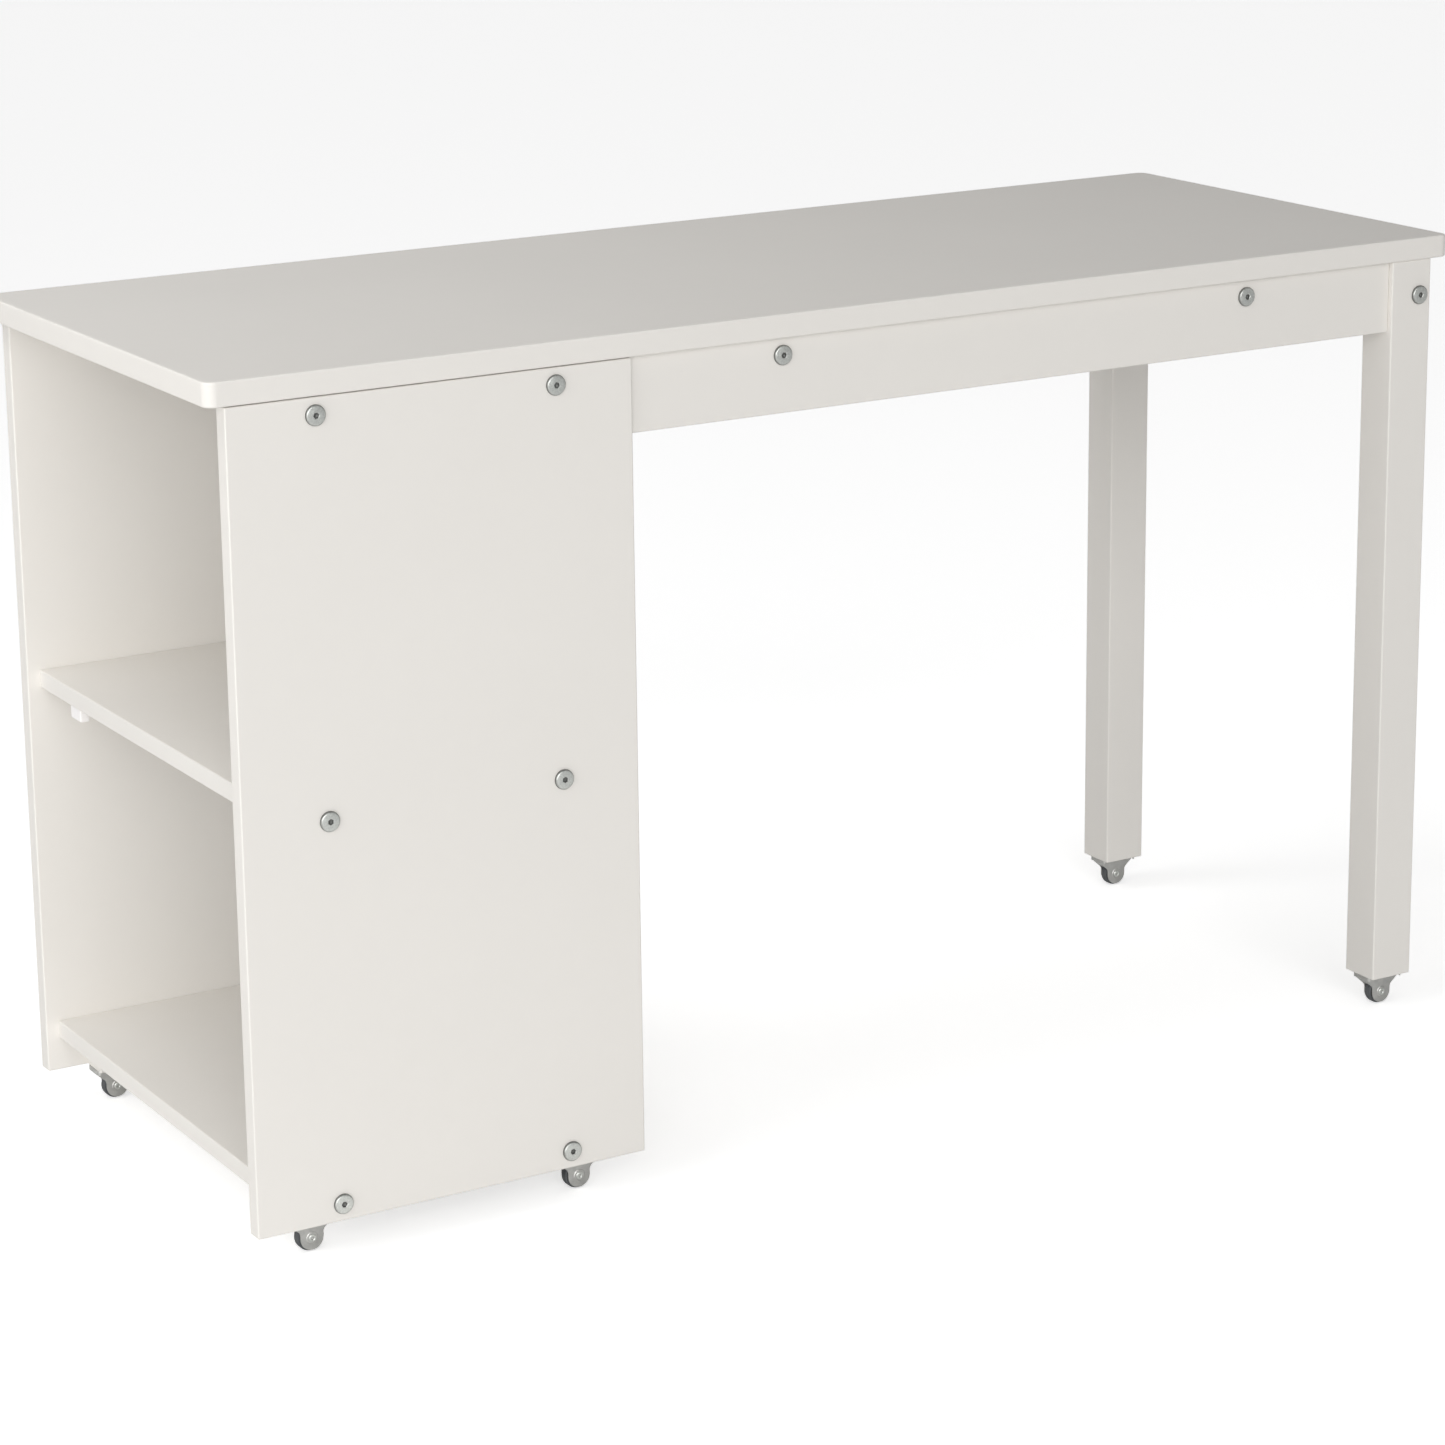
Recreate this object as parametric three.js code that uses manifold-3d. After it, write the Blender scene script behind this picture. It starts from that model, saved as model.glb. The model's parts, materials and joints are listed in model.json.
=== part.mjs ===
// A white painted work table on small fixed casters. Its left end is a shelf unit of two side
// panels, two shelves and the rails that carry them; its right end stands on two square legs.
// Bolts pull the panels, aprons and legs against the rails, and everything sits under one top.
// Millimetres. +X runs along the length, +Y away from the bolted near side, +Z up from the floor.
import * as THREE from "three";
import { mergeVertices } from "three/addons/utils/BufferGeometryUtils.js";
import Module from "manifold-3d";

const wasm = await Module();
wasm.setup();

// ---- Driving dimensions -----------------------------------------------------------------------
const tableLength = 1220;
const tableDepth = 465;
const tableHeight = 730.5;

const topThickness = 20;
const topCornerRadius = 10;
const topCornerSteps = 6;

const leftOverhang = 15.5; // top past the side panels
const rightOverhang = 20; // top past the legs
const faceInset = 1.5; // panels and legs behind the top's long edges

const panelWidth = 356;
const panelThickness = 16;

const shelfThickness = 16;
const shelfInset = 11.5; // shelves behind the panels' open left edges
const middleShelfTop = 399.5;

const railThickness = 18;
const railHeight = 30;
const leftRailInset = 75.5; // rail centre from the panel's left edge
const rightRailInset = 70; // rail centre from the panel's right edge

const apronThickness = 16;
const apronHeight = 64;
const apronInset = 5; // aprons behind the faces of the panels and legs
const leftDeskRailInset = 145; // rail centre from the side panels
const rightDeskRailInset = 161.5; // rail centre from the legs

const legWidth = 44;
const legDepth = 40;

const wheelRadius = 12;
const wheelWidth = 8;
const wheelShoulder = 1.5;
const wheelTopGap = 5; // wheel to the plate over it
const wheelSideGap = 1; // wheel to each cheek
const wheelEndShow = 1.75; // wheel past the cheeks at each end
const wheelGroundGap = 1.5; // cheeks' lowest edge above the floor
const wheelSteps = 20;

const axleRadius = 2;
const axleClearance = 0.3;
const rivetHeadOverhang = 1.4;
const rivetHeadHeight = 1.2;
const axleSteps = 10;

const casterOutset = 18.5; // caster centre outboard of its rail's centre
const casterFromPanel = 12.5; // caster centre from the panel's inner face
const casterSheet = 1.5; // thickness of the plate and the cheeks
const casterSkirt = 4.5; // height of the plate's turned-down ends
const casterFlareRun = 9.75; // how far the housing widens at each end towards the plate
const casterFlareDrop = 8.5; // height over which it narrows again, below the skirt
const casterMouthShare = 1 / 3; // part of that height left open for the wheel
const casterEarWidth = 5.5; // plate past the cheeks
const casterPlateCorner = 3;
const cheekSteps = 9;
const screwHole = 3.5;
const screwFromEnd = 6; // screw centre from the plate's ends
const screwFromEdge = 2.75; // screw centre from the plate's long edges

const boltRadius = 3;
const boltHoleClearance = 0.5;
const boltLength = 50;
const boltHeadRadius = 8.5;
const boltHeadHeight = 3;
const boltSteps = 14;
const holeSteps = 10;
const socketWidth = 5; // across the flats
const socketDepth = 2.2;
const boltHoleSpare = 2; // hole past the bolt's end

const blockLength = 30; // caster block, along the depth
const stopBlock = { length: 22, depth: 8, height: 11, fromFarPanel: 66, setBack: 1 };

// ---- Places worked out from them ----------------------------------------------------------------
const casterHeight = 2 * wheelRadius + wheelTopGap + casterSheet;
const cheekWidth = 2 * (wheelRadius - wheelEndShow);
const mouthWidth = wheelWidth + 2 * wheelSideGap;
const housingWidth = mouthWidth + 2 * casterSheet;
const plateLength = cheekWidth + 2 * casterFlareRun;
const plateWidth = housingWidth + 2 * casterEarWidth;
const plateTop = casterHeight - wheelRadius; // above the axle
const skirtBottom = plateTop - casterSkirt;
const hollowDepth = casterSkirt - casterSheet;
const boltHoleRadius = boltRadius + boltHoleClearance;

const underside = tableHeight - topThickness;
const panelLeft = leftOverhang;
const panelRight = panelLeft + panelWidth;
const nearFace = faceInset;
const farFace = tableDepth - faceInset;
const nearInner = nearFace + panelThickness;
const farInner = farFace - panelThickness;
const bottomShelfTop = casterHeight + railHeight + shelfThickness;
const legRight = tableLength - rightOverhang;
const legLeft = legRight - legWidth;
const deskRailCentres = [panelRight + leftDeskRailInset, legLeft - rightDeskRailInset];
const apronNearFace = nearFace + apronInset;
const apronFarFace = farFace - apronInset;
const cabinetRailCentres = [panelLeft + leftRailInset, panelRight - rightRailInset];
const sideApronRight = legRight - apronInset;
const sideApronCentre = sideApronRight - apronThickness / 2;
const railRows = [
  ["bottom", casterHeight],
  ["middle", middleShelfTop - shelfThickness - railHeight],
  ["top", underside - railHeight],
];

// ---- Finishes -----------------------------------------------------------------------------------
const finish = (color, roughness, metalness) => () =>
  new THREE.MeshStandardMaterial({ color, roughness, metalness });
const whitePaint = finish(0xe4e1db, 0.45, 0);
const zincPlate = finish(0x9b9d9b, 0.42, 0.9);
const zincBolt = finish(0xb4b7b4, 0.35, 0.95);
const greyWheel = finish(0x55575a, 0.6, 0);
const whitePlastic = finish(0xf0eeec, 0.4, 0);

// ---- Solids -------------------------------------------------------------------------------------
// A closed three.js geometry as a solid that can be joined and cut.
function solidOf(geometry) {
  const bare = geometry.clone();
  bare.deleteAttribute("normal");
  bare.deleteAttribute("uv");
  const merged = mergeVertices(bare, 1e-4);
  const vertProperties = merged.attributes.position.array;
  const triVerts = new Uint32Array(merged.index.array);
  return new wasm.Manifold(new wasm.Mesh({ numProp: 3, vertProperties, triVerts }));
}

function geometryOf(solid) {
  const made = solid.getMesh();
  const geometry = new THREE.BufferGeometry();
  geometry.setAttribute("position", new THREE.BufferAttribute(made.vertProperties, 3));
  geometry.setIndex(new THREE.BufferAttribute(made.triVerts, 1));
  geometry.computeVertexNormals();
  return geometry;
}

const table = new THREE.Group();
table.position.set(-tableLength / 2, -tableDepth / 2, 0);

function addMesh(name, geometry, material, parent = table) {
  const mesh = new THREE.Mesh(geometry, material());
  mesh.name = name;
  parent.add(mesh);
  return mesh;
}

// A round cutter along Y, with its middle at (x, y, z).
function cutterAlongY(radius, length, x, y, z) {
  return new THREE.CylinderGeometry(radius, radius, length, holeSteps).translate(x, y, z);
}

// A square-edged board between two corners, drilled by the cutters given.
function addBoard(name, low, high, cutters = []) {
  const size = low.map((value, i) => high[i] - value);
  const plain = new THREE.BoxGeometry(...size);
  plain.translate(size[0] / 2, size[1] / 2, size[2] / 2);
  let geometry = plain;
  if (cutters.length) {
    let solid = solidOf(plain);
    for (const cutter of cutters) {
      cutter.translate(-low[0], -low[1], -low[2]);
      solid = solid.subtract(solidOf(cutter));
    }
    geometry = geometryOf(solid);
  }
  addMesh(name, geometry, whitePaint).position.set(...low);
}

// Two holes for the bolts that pull a rail's ends tight.
function railHoles(x, nearEnd, farEnd, boltedDepth, z) {
  const depth = boltLength - boltedDepth + boltHoleSpare;
  return [
    cutterAlongY(boltHoleRadius, 2 * depth, x, nearEnd, z),
    cutterAlongY(boltHoleRadius, 2 * depth, x, farEnd, z),
  ];
}

// ---- Top ----------------------------------------------------------------------------------------
function addTop() {
  const r = topCornerRadius;
  const outline = new THREE.Shape();
  outline.moveTo(r, 0);
  outline.absarc(tableLength - r, r, r, -Math.PI / 2, 0);
  outline.absarc(tableLength - r, tableDepth - r, r, 0, Math.PI / 2);
  outline.absarc(r, tableDepth - r, r, Math.PI / 2, Math.PI);
  outline.absarc(r, r, r, Math.PI, 1.5 * Math.PI);
  const slab = { depth: topThickness, bevelEnabled: false, curveSegments: topCornerSteps };
  addMesh("tabletop", new THREE.ExtrudeGeometry(outline, slab), whitePaint).position.z = underside;
}

// ---- Shelf unit -----------------------------------------------------------------------------------
function addPanels() {
  for (const [side, face] of [["near", nearFace], ["far", farInner]]) {
    const holes = [];
    for (const x of cabinetRailCentres) {
      for (const [, railBottom] of railRows) {
        const z = railBottom + railHeight / 2;
        const y = face + panelThickness / 2;
        holes.push(cutterAlongY(boltHoleRadius, 2 * panelThickness, x, y, z));
      }
    }
    const low = [panelLeft, face, casterHeight];
    const high = [panelRight, face + panelThickness, underside];
    addBoard(side + "_side_panel", low, high, holes);
  }
}

function addShelves() {
  for (const [name, top] of [["middle_shelf", middleShelfTop], ["bottom_shelf", bottomShelfTop]]) {
    const low = [panelLeft + shelfInset, nearInner, top - shelfThickness];
    addBoard(name, low, [panelRight, farInner, top]);
  }
}

function addCabinetRails() {
  for (const [row, bottom] of railRows) {
    cabinetRailCentres.forEach((x, i) => {
      const name = row + "_rail_" + ["left", "right"][i];
      const low = [x - railThickness / 2, nearInner, bottom];
      const high = [x + railThickness / 2, farInner, bottom + railHeight];
      const z = bottom + railHeight / 2;
      addBoard(name, low, high, railHoles(x, nearInner, farInner, panelThickness, z));
    });
  }
}

// A small white block under the open edge of the middle shelf.
function addShelfStop() {
  const { length, depth, height, fromFarPanel, setBack } = stopBlock;
  const x = panelLeft + shelfInset + setBack;
  const farEnd = farInner - fromFarPanel;
  const shelfBottom = middleShelfTop - shelfThickness;
  const block = new THREE.BoxGeometry(depth, length, height);
  const mesh = addMesh("shelf_stop", block, whitePlastic);
  mesh.position.set(x + depth / 2, farEnd - length / 2, shelfBottom - height / 2);
}

// ---- Desk end -------------------------------------------------------------------------------------
function addAprons() {
  const bottom = underside - apronHeight;
  const boltZ = underside - railHeight / 2;
  const sides = [["near", apronNearFace], ["far", apronFarFace - apronThickness]];
  for (const [side, face] of sides) {
    const y = face + apronThickness / 2;
    const holes = deskRailCentres.map((x) =>
      cutterAlongY(boltHoleRadius, 2 * apronThickness, x, y, boltZ),
    );
    const low = [panelRight, face, bottom];
    addBoard(side + "_apron", low, [legLeft, face + apronThickness, underside], holes);
  }
  const nearEnd = nearFace + legDepth;
  const farEnd = farFace - legDepth;
  const sideZ = underside - apronHeight / 2;
  const low = [sideApronRight - apronThickness, nearEnd, bottom];
  const high = [sideApronRight, farEnd, underside];
  addBoard("side_apron", low, high, railHoles(sideApronCentre, nearEnd, farEnd, legDepth, sideZ));
}

function addDeskRails() {
  const nearEnd = apronNearFace + apronThickness;
  const farEnd = apronFarFace - apronThickness;
  const bottom = underside - railHeight;
  deskRailCentres.forEach((x, i) => {
    const low = [x - railThickness / 2, nearEnd, bottom];
    const high = [x + railThickness / 2, farEnd, underside];
    const holes = railHoles(x, nearEnd, farEnd, apronThickness, bottom + railHeight / 2);
    addBoard("desk_rail_" + ["left", "right"][i], low, high, holes);
  });
}

function addLegs() {
  const boltZ = underside - apronHeight / 2;
  for (const [side, face] of [["near", nearFace], ["far", farFace - legDepth]]) {
    const middle = face + legDepth / 2;
    const hole = cutterAlongY(boltHoleRadius, 2 * legDepth, sideApronCentre, middle, boltZ);
    const low = [legLeft, face, casterHeight];
    addBoard(side + "_leg", low, [legRight, face + legDepth, underside], [hole]);
  }
}

// ---- Bolts ------------------------------------------------------------------------------------------
// Flat round head with a hex socket, the head's underside on Y = 0 and the shank along +Y.
function boltGeometry() {
  const profile = [
    [0, boltLength],
    [boltRadius, boltLength],
    [boltRadius, 0],
    [boltHeadRadius, 0],
    [boltHeadRadius, -boltHeadHeight],
    [0, -boltHeadHeight],
  ];
  const points = profile.map(([r, y]) => new THREE.Vector2(r, y)).reverse();
  const turned = new THREE.LatheGeometry(points, boltSteps);
  const cornerRadius = socketWidth / Math.sqrt(3);
  const socket = new THREE.CylinderGeometry(cornerRadius, cornerRadius, 2 * socketDepth, 6);
  socket.translate(0, -boltHeadHeight, 0);
  return geometryOf(solidOf(turned).subtract(solidOf(socket)));
}

function addBolts() {
  const geometry = boltGeometry();
  const places = [];
  for (const [row, bottom] of railRows) {
    cabinetRailCentres.forEach((x, i) => {
      const name = row + "_" + ["left", "right"][i];
      places.push([name, x, nearFace, farFace, bottom + railHeight / 2]);
    });
  }
  deskRailCentres.forEach((x, i) => {
    const name = "apron_" + ["left", "right"][i];
    places.push([name, x, apronNearFace, apronFarFace, underside - railHeight / 2]);
  });
  places.push(["leg", sideApronCentre, nearFace, farFace, underside - apronHeight / 2]);
  for (const [name, x, nearY, farY, z] of places) {
    addMesh("bolt_near_" + name, geometry, zincBolt).position.set(x, nearY, z);
    const far = addMesh("bolt_far_" + name, geometry, zincBolt);
    far.position.set(x, farY, z);
    far.rotation.z = Math.PI;
  }
}

// ---- Casters ----------------------------------------------------------------------------------------
// The outline of a cheek seen from the side, around the axle at (0, 0), narrowed by a margin.
function cheekOutline(margin, top) {
  const half = cheekWidth / 2 - margin;
  const ear = half + casterFlareRun;
  const earBottom = skirtBottom + margin / 2;
  const knee = earBottom - casterFlareDrop;
  const drop = wheelRadius - wheelGroundGap;
  const outline = new THREE.Shape();
  outline.moveTo(ear, top);
  outline.lineTo(-ear, top);
  outline.lineTo(-ear, earBottom);
  outline.lineTo(-half, knee);
  outline.lineTo(-half, 0);
  outline.absellipse(0, 0, half, drop, Math.PI, 2 * Math.PI);
  outline.lineTo(half, knee);
  outline.lineTo(ear, earBottom);
  outline.closePath();
  return outline;
}

function extrudeAlongY(outline, width) {
  const plan = { depth: width, bevelEnabled: false, curveSegments: cheekSteps };
  const geometry = new THREE.ExtrudeGeometry(outline, plan);
  geometry.translate(0, 0, -width / 2);
  return geometry.rotateX(Math.PI / 2);
}

// A mounting plate with turned-down ends, whose rounded corners run a little way along its sides.
function skirtedPlate() {
  const pan = roundedPlate(plateLength, plateWidth, casterPlateCorner, casterSkirt);
  const insideLength = plateLength - 2 * casterSheet;
  const insideWidth = plateWidth - 2 * casterSheet;
  const insideCorner = casterPlateCorner - casterSheet;
  const hollow = roundedPlate(insideLength, insideWidth, insideCorner, hollowDepth);
  const straight = plateLength - 2 * casterPlateCorner;
  const sides = new THREE.BoxGeometry(straight, 2 * plateWidth, 2 * hollowDepth);
  const solid = solidOf(pan).subtract(solidOf(hollow)).subtract(solidOf(sides));
  return solid.translate(0, 0, skirtBottom);
}

// A pressed housing: a mounting plate, two round-ended cheeks and two sloping end walls.
function bracketGeometry() {
  const outer = extrudeAlongY(cheekOutline(0, plateTop), housingWidth);
  const inside = extrudeAlongY(cheekOutline(casterSheet, plateTop - casterSheet), mouthWidth);
  const mouthTop = skirtBottom - casterFlareDrop * (1 - casterMouthShare);
  const mouth = new THREE.BoxGeometry(2 * cheekWidth, mouthWidth, mouthTop + wheelRadius);
  mouth.translate(0, 0, (mouthTop - wheelRadius) / 2);
  const pin = cutterAlongY(axleRadius + axleClearance / 2, 2 * housingWidth, 0, 0, 0);
  let solid = solidOf(outer).add(skirtedPlate()).subtract(solidOf(inside));
  solid = solid.subtract(solidOf(mouth)).subtract(solidOf(pin));
  const screwX = plateLength / 2 - screwFromEnd;
  const screwY = plateWidth / 2 - screwFromEdge;
  for (const x of [-screwX, screwX]) {
    for (const y of [-screwY, screwY]) {
      const radius = screwHole / 2;
      const hole = new THREE.CylinderGeometry(radius, radius, 4 * casterSheet, holeSteps);
      hole.rotateX(Math.PI / 2);
      hole.translate(x, y, plateTop);
      solid = solid.subtract(solidOf(hole));
    }
  }
  return geometryOf(solid);
}

function roundedPlate(length, width, corner, depth) {
  const x = length / 2 - corner;
  const y = width / 2 - corner;
  const outline = new THREE.Shape();
  outline.moveTo(-x, -y - corner);
  outline.absarc(x, -y, corner, -Math.PI / 2, 0);
  outline.absarc(x, y, corner, 0, Math.PI / 2);
  outline.absarc(-x, y, corner, Math.PI / 2, Math.PI);
  outline.absarc(-x, -y, corner, Math.PI, 1.5 * Math.PI);
  const plan = { depth, bevelEnabled: false, curveSegments: 4 };
  return new THREE.ExtrudeGeometry(outline, plan);
}

// A solid wheel with shouldered edges and the bore through it.
function wheelGeometry() {
  const half = wheelWidth / 2;
  const bore = axleRadius + axleClearance;
  const side = [
    [bore, half],
    [wheelRadius - wheelShoulder, half],
    [wheelRadius, half - wheelShoulder],
  ];
  const otherSide = side.map(([r, y]) => [r, -y]).reverse();
  const ring = [...side, ...otherSide, side[0]];
  const points = ring.map(([r, y]) => new THREE.Vector2(r, y)).reverse();
  return geometryOf(solidOf(new THREE.LatheGeometry(points, wheelSteps)));
}

// A rivet: a plain shank between two low heads outside the cheeks.
function axleGeometry() {
  const seat = housingWidth / 2;
  const crown = seat + rivetHeadHeight;
  const headRadius = axleRadius + rivetHeadOverhang;
  const side = [
    [0, crown],
    [headRadius, crown],
    [headRadius, seat],
    [axleRadius, seat],
  ];
  const otherSide = side.map(([r, y]) => [r, -y]).reverse();
  const points = [...side, ...otherSide].map(([r, y]) => new THREE.Vector2(r, y)).reverse();
  return geometryOf(solidOf(new THREE.LatheGeometry(points, axleSteps)));
}

function addCasters() {
  const bracket = bracketGeometry();
  const wheel = wheelGeometry();
  const axle = axleGeometry();
  const nearY = nearInner + casterFromPanel;
  const farY = farInner - casterFromPanel;
  const [leftX, rightX] = cabinetRailCentres;
  const legX = legRight - legWidth / 2;
  const places = [
    ["near_left", leftX - casterOutset, nearY],
    ["near_right", rightX + casterOutset, nearY],
    ["far_left", leftX - casterOutset, farY],
    ["far_right", rightX + casterOutset, farY],
    ["near_leg", legX, nearFace + legDepth / 2],
    ["far_leg", legX, farFace - legDepth / 2],
  ];
  for (const [place, x, y] of places) {
    const caster = new THREE.Group();
    caster.position.set(x, y, wheelRadius);
    table.add(caster);
    addMesh("caster_bracket_" + place, bracket, zincPlate, caster);
    addMesh("caster_wheel_" + place, wheel, greyWheel, caster);
    addMesh("caster_axle_" + place, axle, zincBolt, caster);
  }
}

// Each block fills the corner beside a bottom rail, so that the caster's plate has wood over it.
function addCasterBlocks() {
  const reach = casterOutset + plateLength / 2;
  const [leftX, rightX] = cabinetRailCentres;
  const spans = [
    ["left", leftX - reach, leftX - railThickness / 2],
    ["right", rightX + railThickness / 2, rightX + reach],
  ];
  const ends = [
    ["near", nearInner, nearInner + blockLength],
    ["far", farInner - blockLength, farInner],
  ];
  for (const [across, x0, x1] of spans) {
    for (const [end, y0, y1] of ends) {
      const low = [x0, y0, casterHeight];
      addBoard("caster_block_" + end + "_" + across, low, [x1, y1, casterHeight + railHeight]);
    }
  }
}

addTop();
addPanels();
addShelves();
addCabinetRails();
addShelfStop();
addAprons();
addDeskRails();
addLegs();
addBolts();
addCasterBlocks();
addCasters();

export default table;
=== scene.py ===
# %% [markdown]
# A white painted work table that rolls on six small casters. The left end is an open shelf unit,
# the right end stands on two square legs, and bolts with flat steel heads hold it together.
# The imported model gives every part its place. This file gives each one its finished shape and
# its finish. It starts by loading that model, and keeps the box it fills.

# %% Load the frame
import json
import math

import bmesh
import bpy
from mathutils import Matrix, Vector


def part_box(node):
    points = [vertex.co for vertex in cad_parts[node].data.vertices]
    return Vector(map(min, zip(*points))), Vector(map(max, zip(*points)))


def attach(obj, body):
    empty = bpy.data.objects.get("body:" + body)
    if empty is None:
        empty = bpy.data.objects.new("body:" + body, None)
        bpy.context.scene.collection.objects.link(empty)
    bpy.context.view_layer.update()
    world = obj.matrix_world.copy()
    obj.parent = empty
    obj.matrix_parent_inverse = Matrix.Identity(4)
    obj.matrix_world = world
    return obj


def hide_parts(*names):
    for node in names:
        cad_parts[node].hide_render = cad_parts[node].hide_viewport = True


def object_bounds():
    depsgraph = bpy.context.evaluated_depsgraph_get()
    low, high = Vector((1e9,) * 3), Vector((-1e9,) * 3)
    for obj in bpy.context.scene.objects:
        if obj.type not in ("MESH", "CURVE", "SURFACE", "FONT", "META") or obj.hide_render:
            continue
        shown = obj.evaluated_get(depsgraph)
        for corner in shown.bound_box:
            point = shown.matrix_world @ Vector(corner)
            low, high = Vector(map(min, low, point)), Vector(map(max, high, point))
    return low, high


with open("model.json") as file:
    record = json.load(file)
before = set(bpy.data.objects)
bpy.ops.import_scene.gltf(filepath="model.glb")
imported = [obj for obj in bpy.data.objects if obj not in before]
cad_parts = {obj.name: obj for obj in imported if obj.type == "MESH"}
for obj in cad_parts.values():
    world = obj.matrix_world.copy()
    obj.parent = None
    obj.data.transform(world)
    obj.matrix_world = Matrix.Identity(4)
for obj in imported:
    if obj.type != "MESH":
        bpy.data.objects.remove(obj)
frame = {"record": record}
cad_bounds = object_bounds()
bodies = frame["record"]["behaviour"]["bodies"]
TABLE = next(name for name in bodies if "tabletop" in bodies[name])
MM = 0.001
print("bodies:", sorted(bodies))
print("overall size:", [round(b - a, 4) for a, b in zip(*cad_bounds)])

# %% [markdown]
# The camera stands far off the near left corner and has a long lens, so that upright edges stay
# almost parallel. It could be placed by hand, but an azimuth, an elevation and a distance from a
# point near the middle of the table say what was meant, and are easy to change. A downward lens
# shift keeps the uprights straighter than tilting alone. It is kept small, because every other
# view has the same shift.

# %% Camera
VIEW_AZIMUTH = math.radians(30.64)
VIEW_ELEVATION = math.radians(14.063)
VIEW_ROLL = math.radians(0.67)
VIEW_DISTANCE = 3.704
VIEW_TARGET = Vector((-0.0064, 0.0219, 0.4426))
LENS = 102.9
LENS_SHIFT = -0.10
CLIP_END = 200.0


def add_camera():
    flat = math.cos(VIEW_ELEVATION)
    forward = Vector((
        math.sin(VIEW_AZIMUTH) * flat,
        math.cos(VIEW_AZIMUTH) * flat,
        -math.sin(VIEW_ELEVATION),
    ))
    data = bpy.data.cameras.new("camera")
    data.lens = LENS
    data.shift_y = LENS_SHIFT
    data.clip_end = CLIP_END
    camera = bpy.data.objects.new("camera", data)
    turn = forward.to_track_quat("-Z", "Y").to_matrix()
    roll = Matrix.Rotation(VIEW_ROLL, 3, forward)
    place = Matrix.Translation(VIEW_TARGET - forward * VIEW_DISTANCE)
    camera.matrix_world = place @ (roll @ turn).to_4x4()
    bpy.context.collection.objects.link(camera)
    bpy.context.scene.camera = camera
    return camera


camera = add_camera()
print("camera at", [round(v, 3) for v in camera.location])

# %% [markdown]
# The studio's lamps are all large, so that shadows have no hard edge. The even part of the light
# comes from two very wide suns, one low in front and a weak one at the left, so the upright faces
# are the brightest. Three square panels near the left end add light that falls off along the
# table: that slow change along the top shows that the lamps stand close by.

# %% Lamps
SUNS = [
    # name, azimuth, elevation, strength, softness (angles in degrees)
    ("front_sun", 20, 15, 1.42, 50),
    ("left_sun", 70, 15, 0.06, 50),
]
PANELS = [
    # name, place, point it faces, side in metres, watts
    ("side_panel_light", (-2.6, -0.6, 1.1), (-0.3, 0, 0.5), 1.8, 15.5),
    ("corner_panel_light", (-2.0, -2.4, 1.1), (-0.2, 0, 0.5), 1.8, 11.0),
    ("top_panel_light", (-1.2, 0.3, 2.6), (-0.2, 0, 0.7), 1.6, 19.5),
]


def add_sun(name, azimuth, elevation, strength, softness):
    data = bpy.data.lights.new(name, "SUN")
    data.energy = strength
    data.angle = math.radians(softness)
    sun = bpy.data.objects.new(name, data)
    a, e = math.radians(azimuth), math.radians(elevation)
    toward = Vector((-math.sin(a) * math.cos(e), -math.cos(a) * math.cos(e), math.sin(e)))
    sun.matrix_world = toward.to_track_quat("Z", "Y").to_matrix().to_4x4()
    bpy.context.collection.objects.link(sun)


def add_soft_panel(name, at, look_at, size, power):
    data = bpy.data.lights.new(name, "AREA")
    data.energy = power
    data.shape = "SQUARE"
    data.size = size
    lamp = bpy.data.objects.new(name, data)
    at = Vector(at)
    turn = (Vector(look_at) - at).to_track_quat("-Z", "Y").to_matrix().to_4x4()
    lamp.matrix_world = Matrix.Translation(at) @ turn
    bpy.context.collection.objects.link(lamp)


bpy.context.scene.view_settings.view_transform = "Standard"
bpy.context.scene.view_settings.look = "None"
for row in SUNS:
    add_sun(*row)
for row in PANELS:
    add_soft_panel(*row)

# %% [markdown]
# Round the lamps comes the world. It fills the shadows with a weak even light, and shows as plain
# white behind the table. A Light Path node keeps the two apart: only rays that come straight from
# the camera see the white.

# %% World
WORLD_LIGHT = 0.33


def light_world():
    world = bpy.data.worlds.new("studio")
    bpy.context.scene.world = world
    world.use_nodes = True
    nodes, links = world.node_tree.nodes, world.node_tree.links
    nodes.clear()
    seen = nodes.new("ShaderNodeLightPath")
    light = nodes.new("ShaderNodeBackground")
    light.inputs["Strength"].default_value = WORLD_LIGHT
    backdrop = nodes.new("ShaderNodeBackground")
    backdrop.inputs["Color"].default_value = (1, 1, 1, 1)
    mix = nodes.new("ShaderNodeMixShader")
    out = nodes.new("ShaderNodeOutputWorld")
    links.new(seen.outputs["Is Camera Ray"], mix.inputs[0])
    links.new(light.outputs[0], mix.inputs[1])
    links.new(backdrop.outputs[0], mix.inputs[2])
    links.new(mix.outputs[0], out.inputs["Surface"])


light_world()
print("world light:", WORLD_LIGHT)

# %% [markdown]
# The floor is pale and runs out of sight. It glows a little, but for the camera only, so that it
# stays white without lighting the table from below. From under it the floor is clear, so that the
# underside of the table can be looked at as well.

# %% Floor
FLOOR_GLOW = 0.55
FLOOR_SIZE = 120.0
FLOOR_TONE = 0.93


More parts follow.
